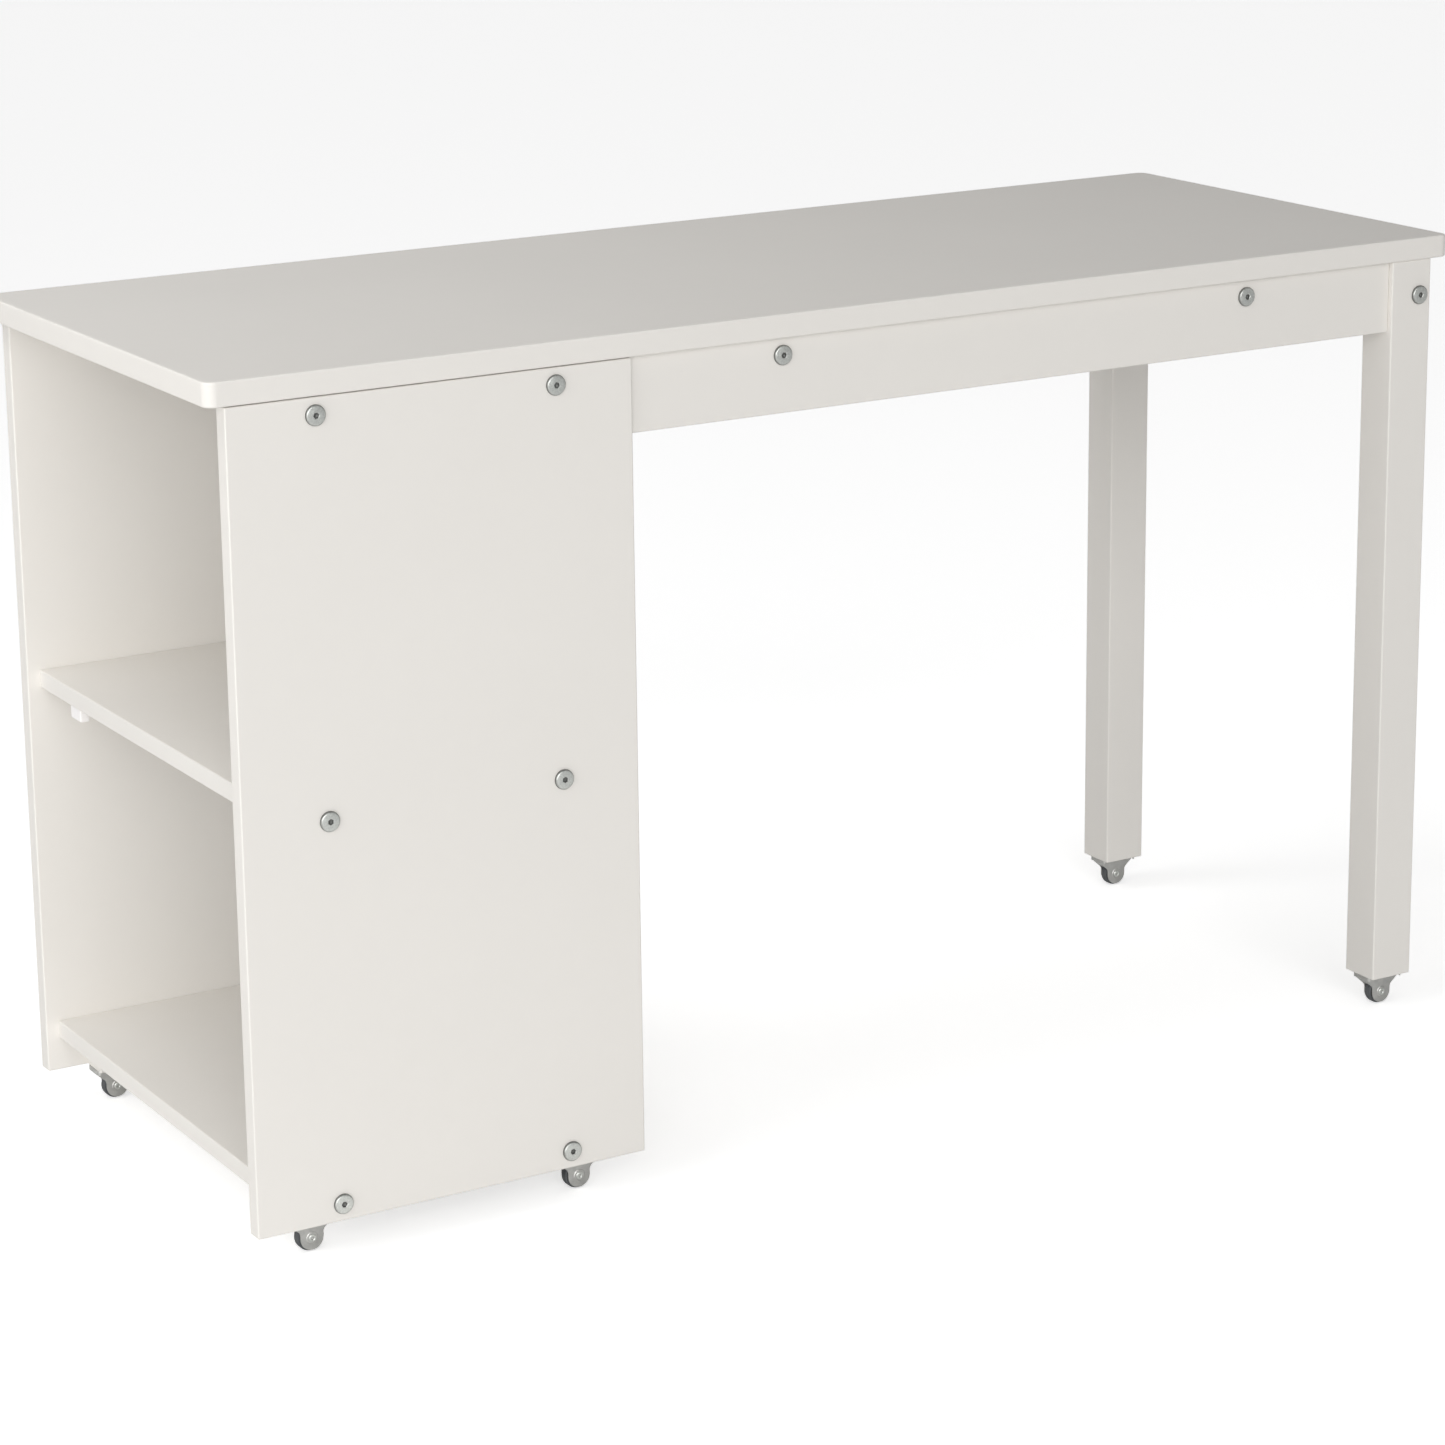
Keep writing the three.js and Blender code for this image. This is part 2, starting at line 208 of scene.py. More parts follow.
def add_floor():
    mesh = bpy.data.meshes.new("floor")
    h = FLOOR_SIZE / 2
    corners = [(-h, -h, 0), (h, -h, 0), (h, h, 0), (-h, h, 0)]
    mesh.from_pydata(corners, [], [(0, 1, 2, 3)])
    floor = bpy.data.objects.new("floor", mesh)
    bpy.context.collection.objects.link(floor)
    material = bpy.data.materials.new("studio_floor")
    material.use_nodes = True
    shader = material.node_tree.nodes["Principled BSDF"]
    shader.inputs["Base Color"].default_value = (FLOOR_TONE, FLOOR_TONE, FLOOR_TONE, 1)
    shader.inputs["Roughness"].default_value = 0.9
    shader.inputs["Specular IOR Level"].default_value = 0.0
    shader.inputs["Emission Color"].default_value = (1, 1, 1, 1)
    tree = material.node_tree
    seen = tree.nodes.new("ShaderNodeLightPath")
    scaled = tree.nodes.new("ShaderNodeMath")
    scaled.operation = "MULTIPLY"
    scaled.inputs[1].default_value = FLOOR_GLOW
    tree.links.new(seen.outputs["Is Camera Ray"], scaled.inputs[0])
    tree.links.new(scaled.outputs[0], shader.inputs["Emission Strength"])
    side = tree.nodes.new("ShaderNodeNewGeometry")
    clear = tree.nodes.new("ShaderNodeBsdfTransparent")
    mix = tree.nodes.new("ShaderNodeMixShader")
    out = tree.nodes["Material Output"]
    tree.links.new(side.outputs["Backfacing"], mix.inputs[0])
    tree.links.new(shader.outputs[0], mix.inputs[1])
    tree.links.new(clear.outputs[0], mix.inputs[2])
    tree.links.new(mix.outputs[0], out.inputs["Surface"])
    mesh.materials.append(material)


add_floor()
print("floor:", FLOOR_SIZE, "m square")

# %% [markdown]
# The finishes come next. Each is one material that reads the piece's own coordinates, so a board
# keeps its pattern however it is seen. What several finishes share is a node group with named
# sockets. Nodes could be wired by hand in the editor, but a few helpers make a long chain of them
# as short to read as a formula: one for a group, one for a sum, one for a noise.

# %% Node helpers


def new_group(name, inputs, outputs):
    group = bpy.data.node_groups.new(name, "ShaderNodeTree")
    for label, kind, value in inputs:
        socket = group.interface.new_socket(label, in_out="INPUT", socket_type=kind)
        socket.default_value = value
    for label, kind in outputs:
        group.interface.new_socket(label, in_out="OUTPUT", socket_type=kind)
    start = group.nodes.new("NodeGroupInput")
    end = group.nodes.new("NodeGroupOutput")
    return group, start, end


def add_math(tree, operation, *values, clamp=False):
    node = tree.nodes.new("ShaderNodeMath")
    node.operation = operation
    node.use_clamp = clamp
    for socket, value in zip(node.inputs, values):
        if isinstance(value, (int, float)):
            socket.default_value = value
        else:
            tree.links.new(value, socket)
    return node.outputs[0]


def add_noise(tree, vector, scale, detail=3.0, rough=0.5):
    node = tree.nodes.new("ShaderNodeTexNoise")
    node.inputs["Detail"].default_value = detail
    node.inputs["Roughness"].default_value = rough
    tree.links.new(vector, node.inputs["Vector"])
    if isinstance(scale, (int, float)):
        node.inputs["Scale"].default_value = scale
    else:
        tree.links.new(scale, node.inputs["Scale"])
    return node.outputs["Fac"]


def centred(tree, value, amount):
    """A 0 to 1 pattern turned into one that swings about zero by the amount."""
    return add_math(tree, "MULTIPLY", add_math(tree, "SUBTRACT", value, 0.5), amount)


def shaded(tree, color, factor):
    """A colour made lighter or darker by a factor that changes over the surface."""
    node = tree.nodes.new("ShaderNodeVectorMath")
    node.operation = "SCALE"
    tree.links.new(color, node.inputs[0])
    tree.links.new(factor, node.inputs["Scale"])
    return node.outputs["Vector"]


def object_coordinates(tree):
    return tree.nodes.new("ShaderNodeTexCoord").outputs["Object"]


FLOAT, COLOR, VECTOR = "NodeSocketFloat", "NodeSocketColor", "NodeSocketVector"
print("socket kinds:", FLOAT, COLOR, VECTOR)

# %% [markdown]
# The first group is the skin of sprayed or rolled paint. On the real board it has three scales:
# fine dimples left by the roller, a slower waviness under them, and a cloudy change of tone that
# stops a big white face from looking printed. A speck of dust sits under the paint here and
# there. A flat colour with one bump would be simpler, but a close view would show it up.

# %% Paint skin group
CLOUDS_PER_METRE = 5.0
PATCHES_PER_METRE = 1.6
MOTTLES_PER_METRE = 60.0
WAVES_PER_METRE = 45.0
SPECKS_PER_METRE = 55.0
SPECK_SIZE = 0.022
PATCH_TONE = 0.02
MOTTLE_TONE = 0.012
SPECK_TONE = 0.05
SPECK_HEIGHT = 0.6
CLOUD_ROUGHNESS = 0.10
DIMPLE_ROUGHNESS = 0.06
EDGE_ROUGHNESS = 0.08


def build_paint_group():
    inputs = [
        ("Vector", VECTOR, (0, 0, 0)),
        ("Color", COLOR, (0.8, 0.8, 0.8, 1)),
        ("Cloudiness", FLOAT, 0.03),
        ("Dimple Scale", FLOAT, 700.0),
        ("Dimple Depth", FLOAT, 0.5),
        ("Wave Depth", FLOAT, 0.5),
        ("Edge Tone", FLOAT, 0.03),
        ("Roughness", FLOAT, 0.4),
    ]
    outputs = [("Color", COLOR), ("Roughness", FLOAT), ("Height", FLOAT)]
    group, start, end = new_group("paint_skin", inputs, outputs)
    given = start.outputs
    place = given["Vector"]

    cloud = add_noise(group, place, CLOUDS_PER_METRE, detail=4.0, rough=0.55)
    patch = add_noise(group, place, PATCHES_PER_METRE, detail=1.0)
    mottle = add_noise(group, place, MOTTLES_PER_METRE, detail=3.0)
    dimples = add_noise(group, place, given["Dimple Scale"], detail=2.0, rough=0.6)
    waves = add_noise(group, place, WAVES_PER_METRE, detail=1.0)

    specks = group.nodes.new("ShaderNodeTexVoronoi")
    specks.inputs["Scale"].default_value = SPECKS_PER_METRE
    group.links.new(place, specks.inputs["Vector"])
    speck = add_math(group, "LESS_THAN", specks.outputs["Distance"], SPECK_SIZE)

    # The stored edge band is made rougher, and lighter in colour: on boards a painted highlight,
    # on a wheel's tread real scuffing.
    edge = group.nodes.new("ShaderNodeAttribute")
    edge.attribute_name = "edge"
    edge_highlight_and_scuff = add_math(group, "MULTIPLY", edge.outputs["Fac"], given["Edge Tone"])

    tone = add_math(group, "ADD", 1.0, centred(group, cloud, given["Cloudiness"]))
    tone = add_math(group, "ADD", tone, centred(group, patch, PATCH_TONE))
    tone = add_math(group, "ADD", tone, centred(group, mottle, MOTTLE_TONE))
    tone = add_math(group, "SUBTRACT", tone, add_math(group, "MULTIPLY", speck, SPECK_TONE))
    tone = add_math(group, "ADD", tone, edge_highlight_and_scuff)
    group.links.new(shaded(group, given["Color"], tone), end.inputs["Color"])

    rough = add_math(group, "ADD", given["Roughness"], centred(group, cloud, CLOUD_ROUGHNESS))
    rough = add_math(group, "ADD", rough, centred(group, dimples, DIMPLE_ROUGHNESS))
    worn = add_math(group, "MULTIPLY", edge.outputs["Fac"], EDGE_ROUGHNESS)
    group.links.new(add_math(group, "ADD", rough, worn), end.inputs["Roughness"])

    height = add_math(group, "MULTIPLY", dimples, given["Dimple Depth"])
    swell = add_math(group, "MULTIPLY", waves, given["Wave Depth"])
    height = add_math(group, "ADD", height, swell)
    height = add_math(group, "ADD", height, add_math(group, "MULTIPLY", speck, SPECK_HEIGHT))
    group.links.new(height, end.inputs["Height"])
    return group


paint_group = build_paint_group()
print("paint group sockets:", [s.name for s in paint_group.interface.items_tree])

# %% [markdown]
# A material then needs little: the shared group, a Bump node, and a Principled shader whose
# constant values are set on its own sockets. Three helpers do that for every finish here: one
# starts the material, one places a group in it, and one joins the group to the shader.

# %% Material helpers


def start_material(name, rough=0.5, metal=0.0, coat=0.0, coat_rough=0.3):
    material = bpy.data.materials.new(name)
    material.use_nodes = True
    shader = material.node_tree.nodes["Principled BSDF"]
    shader.inputs["Roughness"].default_value = rough
    shader.inputs["Metallic"].default_value = metal
    shader.inputs["Coat Weight"].default_value = coat
    shader.inputs["Coat Roughness"].default_value = coat_rough
    return material, material.node_tree, shader


def place_group(tree, group, **values):
    node = tree.nodes.new("ShaderNodeGroup")
    node.node_tree = group
    for label, value in values.items():
        node.inputs[label.replace("_", " ")].default_value = value
    if "Vector" in node.inputs:
        tree.links.new(object_coordinates(tree), node.inputs["Vector"])
    return node


def connect(tree, node, shader, bump_distance):
    tree.links.new(node.outputs["Color"], shader.inputs["Base Color"])
    tree.links.new(node.outputs["Roughness"], shader.inputs["Roughness"])
    bump = tree.nodes.new("ShaderNodeBump")
    bump.inputs["Strength"].default_value = 1.0
    bump.inputs["Distance"].default_value = bump_distance
    tree.links.new(node.outputs["Height"], bump.inputs["Height"])
    tree.links.new(bump.outputs["Normal"], shader.inputs["Normal"])


print("material helpers:", [f.__name__ for f in (start_material, place_group, connect)])

# %% [markdown]
# White paint on furniture is warm, not pure white, and satin: a broad soft sheen with no mirror
# in it. A thin coat gives the sheen its own, smoother surface over the dimpled colour.

# %% White paint
WARM_WHITE = (0.82, 0.794, 0.752)
PAINT_IOR = 1.47
PAINT_RELIEF = 0.05 * MM


def white_paint(name, color):
    material, tree, shader = start_material(name, coat=0.12, coat_rough=0.35)
    shader.inputs["IOR"].default_value = PAINT_IOR
    # The edge value paints a faint highlight along every eased edge.
    skin = place_group(
        tree, paint_group,
        Color=(*color, 1), Cloudiness=0.03, Dimple_Scale=620.0, Dimple_Depth=0.35,
        Wave_Depth=0.9, Edge_Tone=0.02, Roughness=0.46,
    )
    connect(tree, skin, shader, PAINT_RELIEF)
    return material


PAINT = white_paint("white_paint", WARM_WHITE)
print("made", PAINT.name)

# %% [markdown]
# Zinc plate is a thin bright metal coat over steel. On a bolt head the tool has left faint
# rings, and tumbling in the barrel has dulled and scratched them. On the pressed sheet of the
# casters it is greyer, and cloudy where the bath took unevenly. One group serves both: it mixes
# clouds, fine grain and rings around the piece's own axis, which the mesh stores as a distance.
# Sockets, recesses and the foot of a rounded shoulder are painted darker: painted shade in the
# hollows, a painted dark reflection on the shoulder. The mesh stores the painted shade per vertex.

# %% Plated metal group
DENTS_PER_METRE = 900.0
GRAIN_TONE = 0.16
STAIN_ROUGHNESS = 0.35
GRAIN_ROUGHNESS = 0.12
GRAIN_HEIGHT = 0.35
DENT_HEIGHT = 1.4


def build_plate_group():
    inputs = [
        ("Vector", VECTOR, (0, 0, 0)),
        ("Color", COLOR, (0.6, 0.6, 0.6, 1)),
        ("Cloud Scale", FLOAT, 300.0),
        ("Cloudiness", FLOAT, 0.25),
        ("Grain Scale", FLOAT, 2500.0),
        ("Ring Depth", FLOAT, 0.3),
        ("Rings Per Metre", FLOAT, 2200.0),
        ("Dull Depth", FLOAT, 0.75),
        ("Roughness", FLOAT, 0.35),
    ]
    outputs = [("Color", COLOR), ("Roughness", FLOAT), ("Height", FLOAT)]
    group, start, end = new_group("plated_metal", inputs, outputs)
    given = start.outputs
    place = given["Vector"]

    cloud = add_noise(group, place, given["Cloud Scale"], detail=4.0, rough=0.6)
    grain = add_noise(group, place, given["Grain Scale"], detail=2.0)
    dents = add_noise(group, place, DENTS_PER_METRE, detail=1.0)
    axis = group.nodes.new("ShaderNodeAttribute")
    axis.attribute_name = "from_axis"
    turns = add_math(group, "MULTIPLY", axis.outputs["Fac"], given["Rings Per Metre"])
    rings = add_math(group, "SINE", add_math(group, "MULTIPLY", turns, 2 * math.pi))
    rings = add_math(group, "MULTIPLY", rings, given["Ring Depth"])

    tone = add_math(group, "ADD", 1.0, centred(group, cloud, given["Cloudiness"]))
    tone = add_math(group, "ADD", tone, centred(group, grain, GRAIN_TONE))
    # Hollows and the foot of the shoulder are painted darker here: painted shade, and on the
    # shoulder a painted dark reflection.
    dull = group.nodes.new("ShaderNodeAttribute")
    dull.attribute_name = "dull"
    shade_darkening = add_math(group, "MULTIPLY", dull.outputs["Fac"], given["Dull Depth"])
    tone = add_math(group, "MULTIPLY", tone, add_math(group, "SUBTRACT", 1.0, shade_darkening))
    group.links.new(shaded(group, given["Color"], tone), end.inputs["Color"])

    rough = add_math(group, "ADD", given["Roughness"], centred(group, cloud, STAIN_ROUGHNESS))
    rough = add_math(group, "ADD", rough, centred(group, grain, GRAIN_ROUGHNESS))
    group.links.new(rough, end.inputs["Roughness"])

    height = add_math(group, "ADD", add_math(group, "MULTIPLY", grain, GRAIN_HEIGHT), rings)
    height = add_math(group, "ADD", height, add_math(group, "MULTIPLY", dents, DENT_HEIGHT))
    group.links.new(height, end.inputs["Height"])
    return group


plate_group = build_plate_group()
print("plate group sockets:", [s.name for s in plate_group.interface.items_tree])

# %% [markdown]
# The bolts are bright, with rings and small sharp mottling. The pressed sheet is darker and
# duller, with larger clouds and no rings. The two differ only in the values they give the group.

# %% Plated metals


def plated(name, color, relief, **values):
    material, tree, shader = start_material(name, metal=1.0)
    metal = place_group(tree, plate_group, Color=(*color, 1), **values)
    connect(tree, metal, shader, relief)
    return material


BOLT_ZINC = plated(
    "zinc_bolt", (0.80, 0.82, 0.785), 0.03 * MM,
    Roughness=0.38, Cloudiness=0.7, Cloud_Scale=650.0, Ring_Depth=0.35,
)
SHEET_ZINC = plated(
    "zinc_plate", (0.62, 0.62, 0.60), 0.04 * MM,
    Roughness=0.46, Cloudiness=0.45, Cloud_Scale=160.0, Ring_Depth=0.0,
)
print("made", BOLT_ZINC.name, "and", SHEET_ZINC.name)

# %% [markdown]
# Two plastics are left: the dark grey of the wheels, scuffed on the tread, and the glossy white
# of a small block under the shelf. The paint group gives both their skin, with other values:
# moulded plastic has a fine even grain and no slow waves.

# %% Plastics
MOULD_RELIEF = 0.04 * MM


def moulded(name, color, coat, **values):
    material, tree, shader = start_material(name, coat=coat, coat_rough=0.25)
    # The edge value lightens the wheel's tread, which is scuffing, and the block's eased edges,
    # which is a painted highlight.
    skin = place_group(
        tree, paint_group,
        Color=(*color, 1), Dimple_Depth=0.6, Wave_Depth=0.1, Edge_Tone=0.10, **values,
    )
    connect(tree, skin, shader, MOULD_RELIEF)
    return material


WHEEL_PLASTIC = moulded(
    "grey_wheel", (0.085, 0.09, 0.095), coat=0.0,
    Roughness=0.55, Cloudiness=0.5, Dimple_Scale=1800.0,
)
WHITE_PLASTIC = moulded(
    "white_plastic", (0.87, 0.85, 0.84), coat=0.2,
    Roughness=0.32, Cloudiness=0.02, Dimple_Scale=1500.0,
)
print("made", WHEEL_PLASTIC.name, "and", WHITE_PLASTIC.name)

# %% [markdown]
# Every finished piece is handed over in the same way: its mesh goes into an object at the origin,
# it rides on a body, and it stands for the plain parts it covers.
# Most pieces belong to the table itself. Only the wheels ride on bodies of their own.

# %% Handing a piece over


def new_piece(name, mesh, material, replaced=(), body=TABLE):
    piece = bpy.data.objects.new(name, mesh)
    bpy.context.collection.objects.link(piece)
    mesh.materials.clear()
    mesh.materials.append(material)
    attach(piece, body)
    if replaced:
        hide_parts(*replaced)
    return piece


def mesh_from(bm, name, sharp_angle=35):
    mesh = bpy.data.meshes.new(name)
    bm.normal_update()
    bm.to_mesh(mesh)
    bm.free()
    mesh.shade_smooth()
    mesh.set_sharp_from_angle(angle=math.radians(sharp_angle))
    return mesh


print("pieces ride on", TABLE, "unless they name another body")

# %% [markdown]
# The boards. A real board has no sharp edge: the machine eases it by about a millimetre, and the
# paint rounds it again. That thin lit line along every edge is what makes it read as wood. Each
# board is a box with its edges rolled over in three steps. A narrow band is then cut in round
# every face, and a number stored on the vertices says what is edge and what is face, for the
# paint: it makes the band rougher, and a little lighter as a painted highlight beside the real
# one. A bevel modifier could round it as well, but the stored number needs real vertices.
# The panels stop just short of the top, which rests on its rails: the gap is the thin dark seam.

# %% Board maker
EASE = 1.2 * MM
BAND = 2.5 * MM
SEAM = 0.9 * MM
EASE_STEPS = 3
CORNER_STEPS = 10
CORNER_ANGLE = math.radians(40)
BANDS_ACROSS = 5
BROAD_FACE = 20
FLAT_ENOUGH = 0.999


def board_mesh(name, low, high, ease=EASE, upright_radius=0.0):
    bm = bmesh.new()
    bmesh.ops.create_cube(bm, size=1.0)
    size = Vector(high) - Vector(low)
    middle = (Vector(high) + Vector(low)) / 2
    bmesh.ops.scale(bm, vec=size, verts=bm.verts)
    bmesh.ops.translate(bm, vec=middle, verts=bm.verts)
    if upright_radius:
        uprights = [e for e in bm.edges if abs((e.verts[0].co - e.verts[1].co).z) > size.z / 2]
        bmesh.ops.bevel(bm, geom=uprights, offset=upright_radius, segments=CORNER_STEPS,
                        profile=0.5, affect="EDGES")
    sharp = [e for e in bm.edges if e.calc_face_angle(0) > CORNER_ANGLE]
    bmesh.ops.bevel(bm, geom=sharp, offset=ease, segments=EASE_STEPS, profile=0.5,
                    affect="EDGES")
    band = min(BAND, min(size) / BANDS_ACROSS)
    smallest = BROAD_FACE * ease * ease
    broad = [f for f in bm.faces if f.calc_area() > smallest and len(f.verts) >= 4]
    inner = set()
    for face in [f for f in broad if max(abs(c) for c in f.normal) > FLAT_ENOUGH]:
        bmesh.ops.inset_region(bm, faces=[face], thickness=band, use_even_offset=True)
        inner.update(face.verts)
    layer = bm.verts.layers.float.new("edge")
    for vert in bm.verts:
        vert[layer] = 0.0 if vert in inner else 1.0
    return mesh_from(bm, name)


def finish_board(node, material=PAINT, slot="white_paint", **options):
    low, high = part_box(node)
    if node.endswith("_panel"):
        high = (high[0], high[1], high[2] - SEAM)
    mesh = board_mesh(node + "_board", low, high, **options)
    piece = new_piece(node + "_board", mesh, material, [node])
    even = piece.modifiers.new("even_shading", "WEIGHTED_NORMAL")
    even.keep_sharp = True
    return piece


print("edge rounding", EASE / MM, "mm, band", BAND / MM, "mm, seam", SEAM / MM, "mm")

# %% [markdown]
# All the boards are now made, each from the box of its plain part. The top has larger rounded
# corners and a softer edge, since hands and hips meet it. Listing the parts by the ends of their
# names keeps the list right if a board is added to the model.

# %% Boards
TOP_CORNER = 10 * MM
TOP_EASE = 1.6 * MM
STOP_EASE = 0.9 * MM
plain_boards = [
    node for node in bodies[TABLE]
    if node.endswith(("_panel", "_shelf", "_apron", "_leg"))
    and not node.startswith(("bolt", "caster"))
]
rails = [n for n in bodies[TABLE] if "_rail_" in n and not n.startswith("bolt")]
blocks = [n for n in bodies[TABLE] if n.startswith("caster_block")]
finish_board("tabletop", ease=TOP_EASE, upright_radius=TOP_CORNER)
for node in plain_boards + rails + blocks:
    finish_board(node)
finish_board("shelf_stop", WHITE_PLASTIC, "white_plastic", ease=STOP_EASE)
print("boards:", 1 + len(plain_boards), "rails:", len(rails), "blocks:", len(blocks))

# %% [markdown]
# Round parts are turned: a half outline is swept about an axis, as on a lathe. Blender's Screw
# modifier does that, but a few lines of mesh code keep control of the poles and let each vertex
# remember its distance from the axis, which the plated finish uses for its rings.

# %% Lathe
ON_AXIS = 1e-9
HAIR = 1e-6
TINY = 0.1 * MM


def arc(cx, cy, radius, start, end, steps):
    """Points on an arc, in degrees, as (distance from the axis, height)."""
    out = []
    for i in range(steps + 1):
        a = math.radians(start + (end - start) * i / steps)
        out.append((cx + radius * math.cos(a), cy + radius * math.sin(a)))
    return out


def turned(profile, steps, closed=False):
    """A bmesh turned about Z. An open profile starts and ends on the axis."""
    bm = bmesh.new()
    rings = []
    for r, z in profile:
        if r < ON_AXIS:
            rings.append([bm.verts.new((0, 0, z))])
            continue
        ring = []
        for i in range(steps):
            a = 2 * math.pi * i / steps
            ring.append(bm.verts.new((r * math.cos(a), r * math.sin(a), z)))
        rings.append(ring)
    pairs = list(zip(rings, rings[1:]))
    if closed:
        pairs.append((rings[-1], rings[0]))
    for one, two in pairs:
        for i in range(steps):
            j = (i + 1) % steps
            corners = [one[i % len(one)], one[j % len(one)], two[j % len(two)], two[i % len(two)]]
            corners = list(dict.fromkeys(corners))
            if len(corners) > 2:
                bm.faces.new(corners)
    bmesh.ops.recalc_face_normals(bm, faces=bm.faces)
    axis = bm.verts.layers.float.new("from_axis")
    # A second layer holds painted shade, which the parts with hollows fill in.
    bm.verts.layers.float.new("dull")
    for vert in bm.verts:
        vert[axis] = vert.co.xy.length
    return bm


trial_cone = turned([(0, 0), (1, 0), (0, 1)], 12)
print("a turned cone has", len(trial_cone.verts), "vertices")
trial_cone.free()

# %% [markdown]
# The bolt. Its head is a flat disc with a rounded shoulder and a hexagonal socket, and only the
# head shows. The outline runs from the middle of the socket's floor, up its wall and over the
# face. The socket's wall is round in the sweep, so its rings are then pushed out to a hexagon.
# A cut with a Boolean would make the same socket, but with less even faces.

# %% Bolt head
BOLT_NODES = [n for n in bodies[TABLE] if n.startswith("bolt_")]
one_low, one_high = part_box("bolt_near_middle_left")
HEAD_RADIUS = (one_high[2] - one_low[2]) / 2
HEAD_HEIGHT = 3.0 * MM
SHOULDER = 1.5 * MM
SOCKET_FLATS = 4.0 * MM
SOCKET_DEPTH = 2.0 * MM
SOCKET_CHAMFER = 0.5 * MM
DRILL_DIP = 0.3
DRILL_SHARE = 0.6
CROWN = 0.25 * MM
FOOT_CHAMFER = 0.2 * MM
FACE_RINGS = 6
SHADE_CURVE = 1.5
HEAD_STEPS = 48


def hexagon_reach(angle, flats):
    """Distance from the middle of a hexagon to its side, at an angle."""
    sixth = math.pi / 3
    return flats / 2 / math.cos((angle % sixth) - sixth / 2)


def bolt_head():
    top = HEAD_HEIGHT
    wall = SOCKET_FLATS / 2
    mouth = wall + SOCKET_CHAMFER
    floor = top - SOCKET_DEPTH
    dip = wall * DRILL_DIP
    profile = [(0, floor - dip), (wall * DRILL_SHARE, floor - dip / 3), (wall, floor)]
    profile += [(wall, top - SOCKET_CHAMFER), (mouth, top)]
    flat_end = HEAD_RADIUS - SHOULDER
    for i in range(1, FACE_RINGS):
        t = i / FACE_RINGS
        profile.append((mouth + (flat_end - mouth) * t, top - CROWN * t * t))
    lower = top - CROWN - SHOULDER
    profile += arc(flat_end, lower, SHOULDER, 90, 0, 8)
    profile += [(HEAD_RADIUS, FOOT_CHAMFER), (HEAD_RADIUS - FOOT_CHAMFER, 0), (0, 0)]
    bm = turned(profile, HEAD_STEPS)
    # The socket is painted dark as painted shade, and the shoulder grows darker towards its foot
    # as a painted dark reflection.
    dull = bm.verts.layers.float["dull"]
    for vert in bm.verts:
        r = vert.co.xy.length
        if r < mouth - TINY:
            vert[dull] = 1.0
        elif r > flat_end:
            vert[dull] = ((r - flat_end) / SHOULDER) ** SHADE_CURVE
        in_socket = 0 < r < mouth + HAIR and vert.co.z > TINY
        if in_socket:
            angle = math.atan2(vert.co.y, vert.co.x)
            scale = hexagon_reach(angle, SOCKET_FLATS) / wall
            vert.co.x *= scale
            vert.co.y *= scale
    return mesh_from(bm, "bolt_head_shape", sharp_angle=38)


head_mesh = bolt_head()
print("bolt head faces:", len(head_mesh.polygons))

# %% [markdown]
# Eighteen heads sit on the near and far faces. Geometry Nodes place what repeats: a small mesh
# holds one point for each place and the way it faces, and the tree puts a copy of the head on
# every point, turned by a random angle as a bolt really stops. The same tree serves the rivets,
# the screws and the barrel nuts, so its inputs are the shape, a size factor, the largest turn, the
# seed and the material. The result becomes a plain mesh and the modifier goes, because copies made
# on the fly don't leave Blender.

# %% Scatter tree


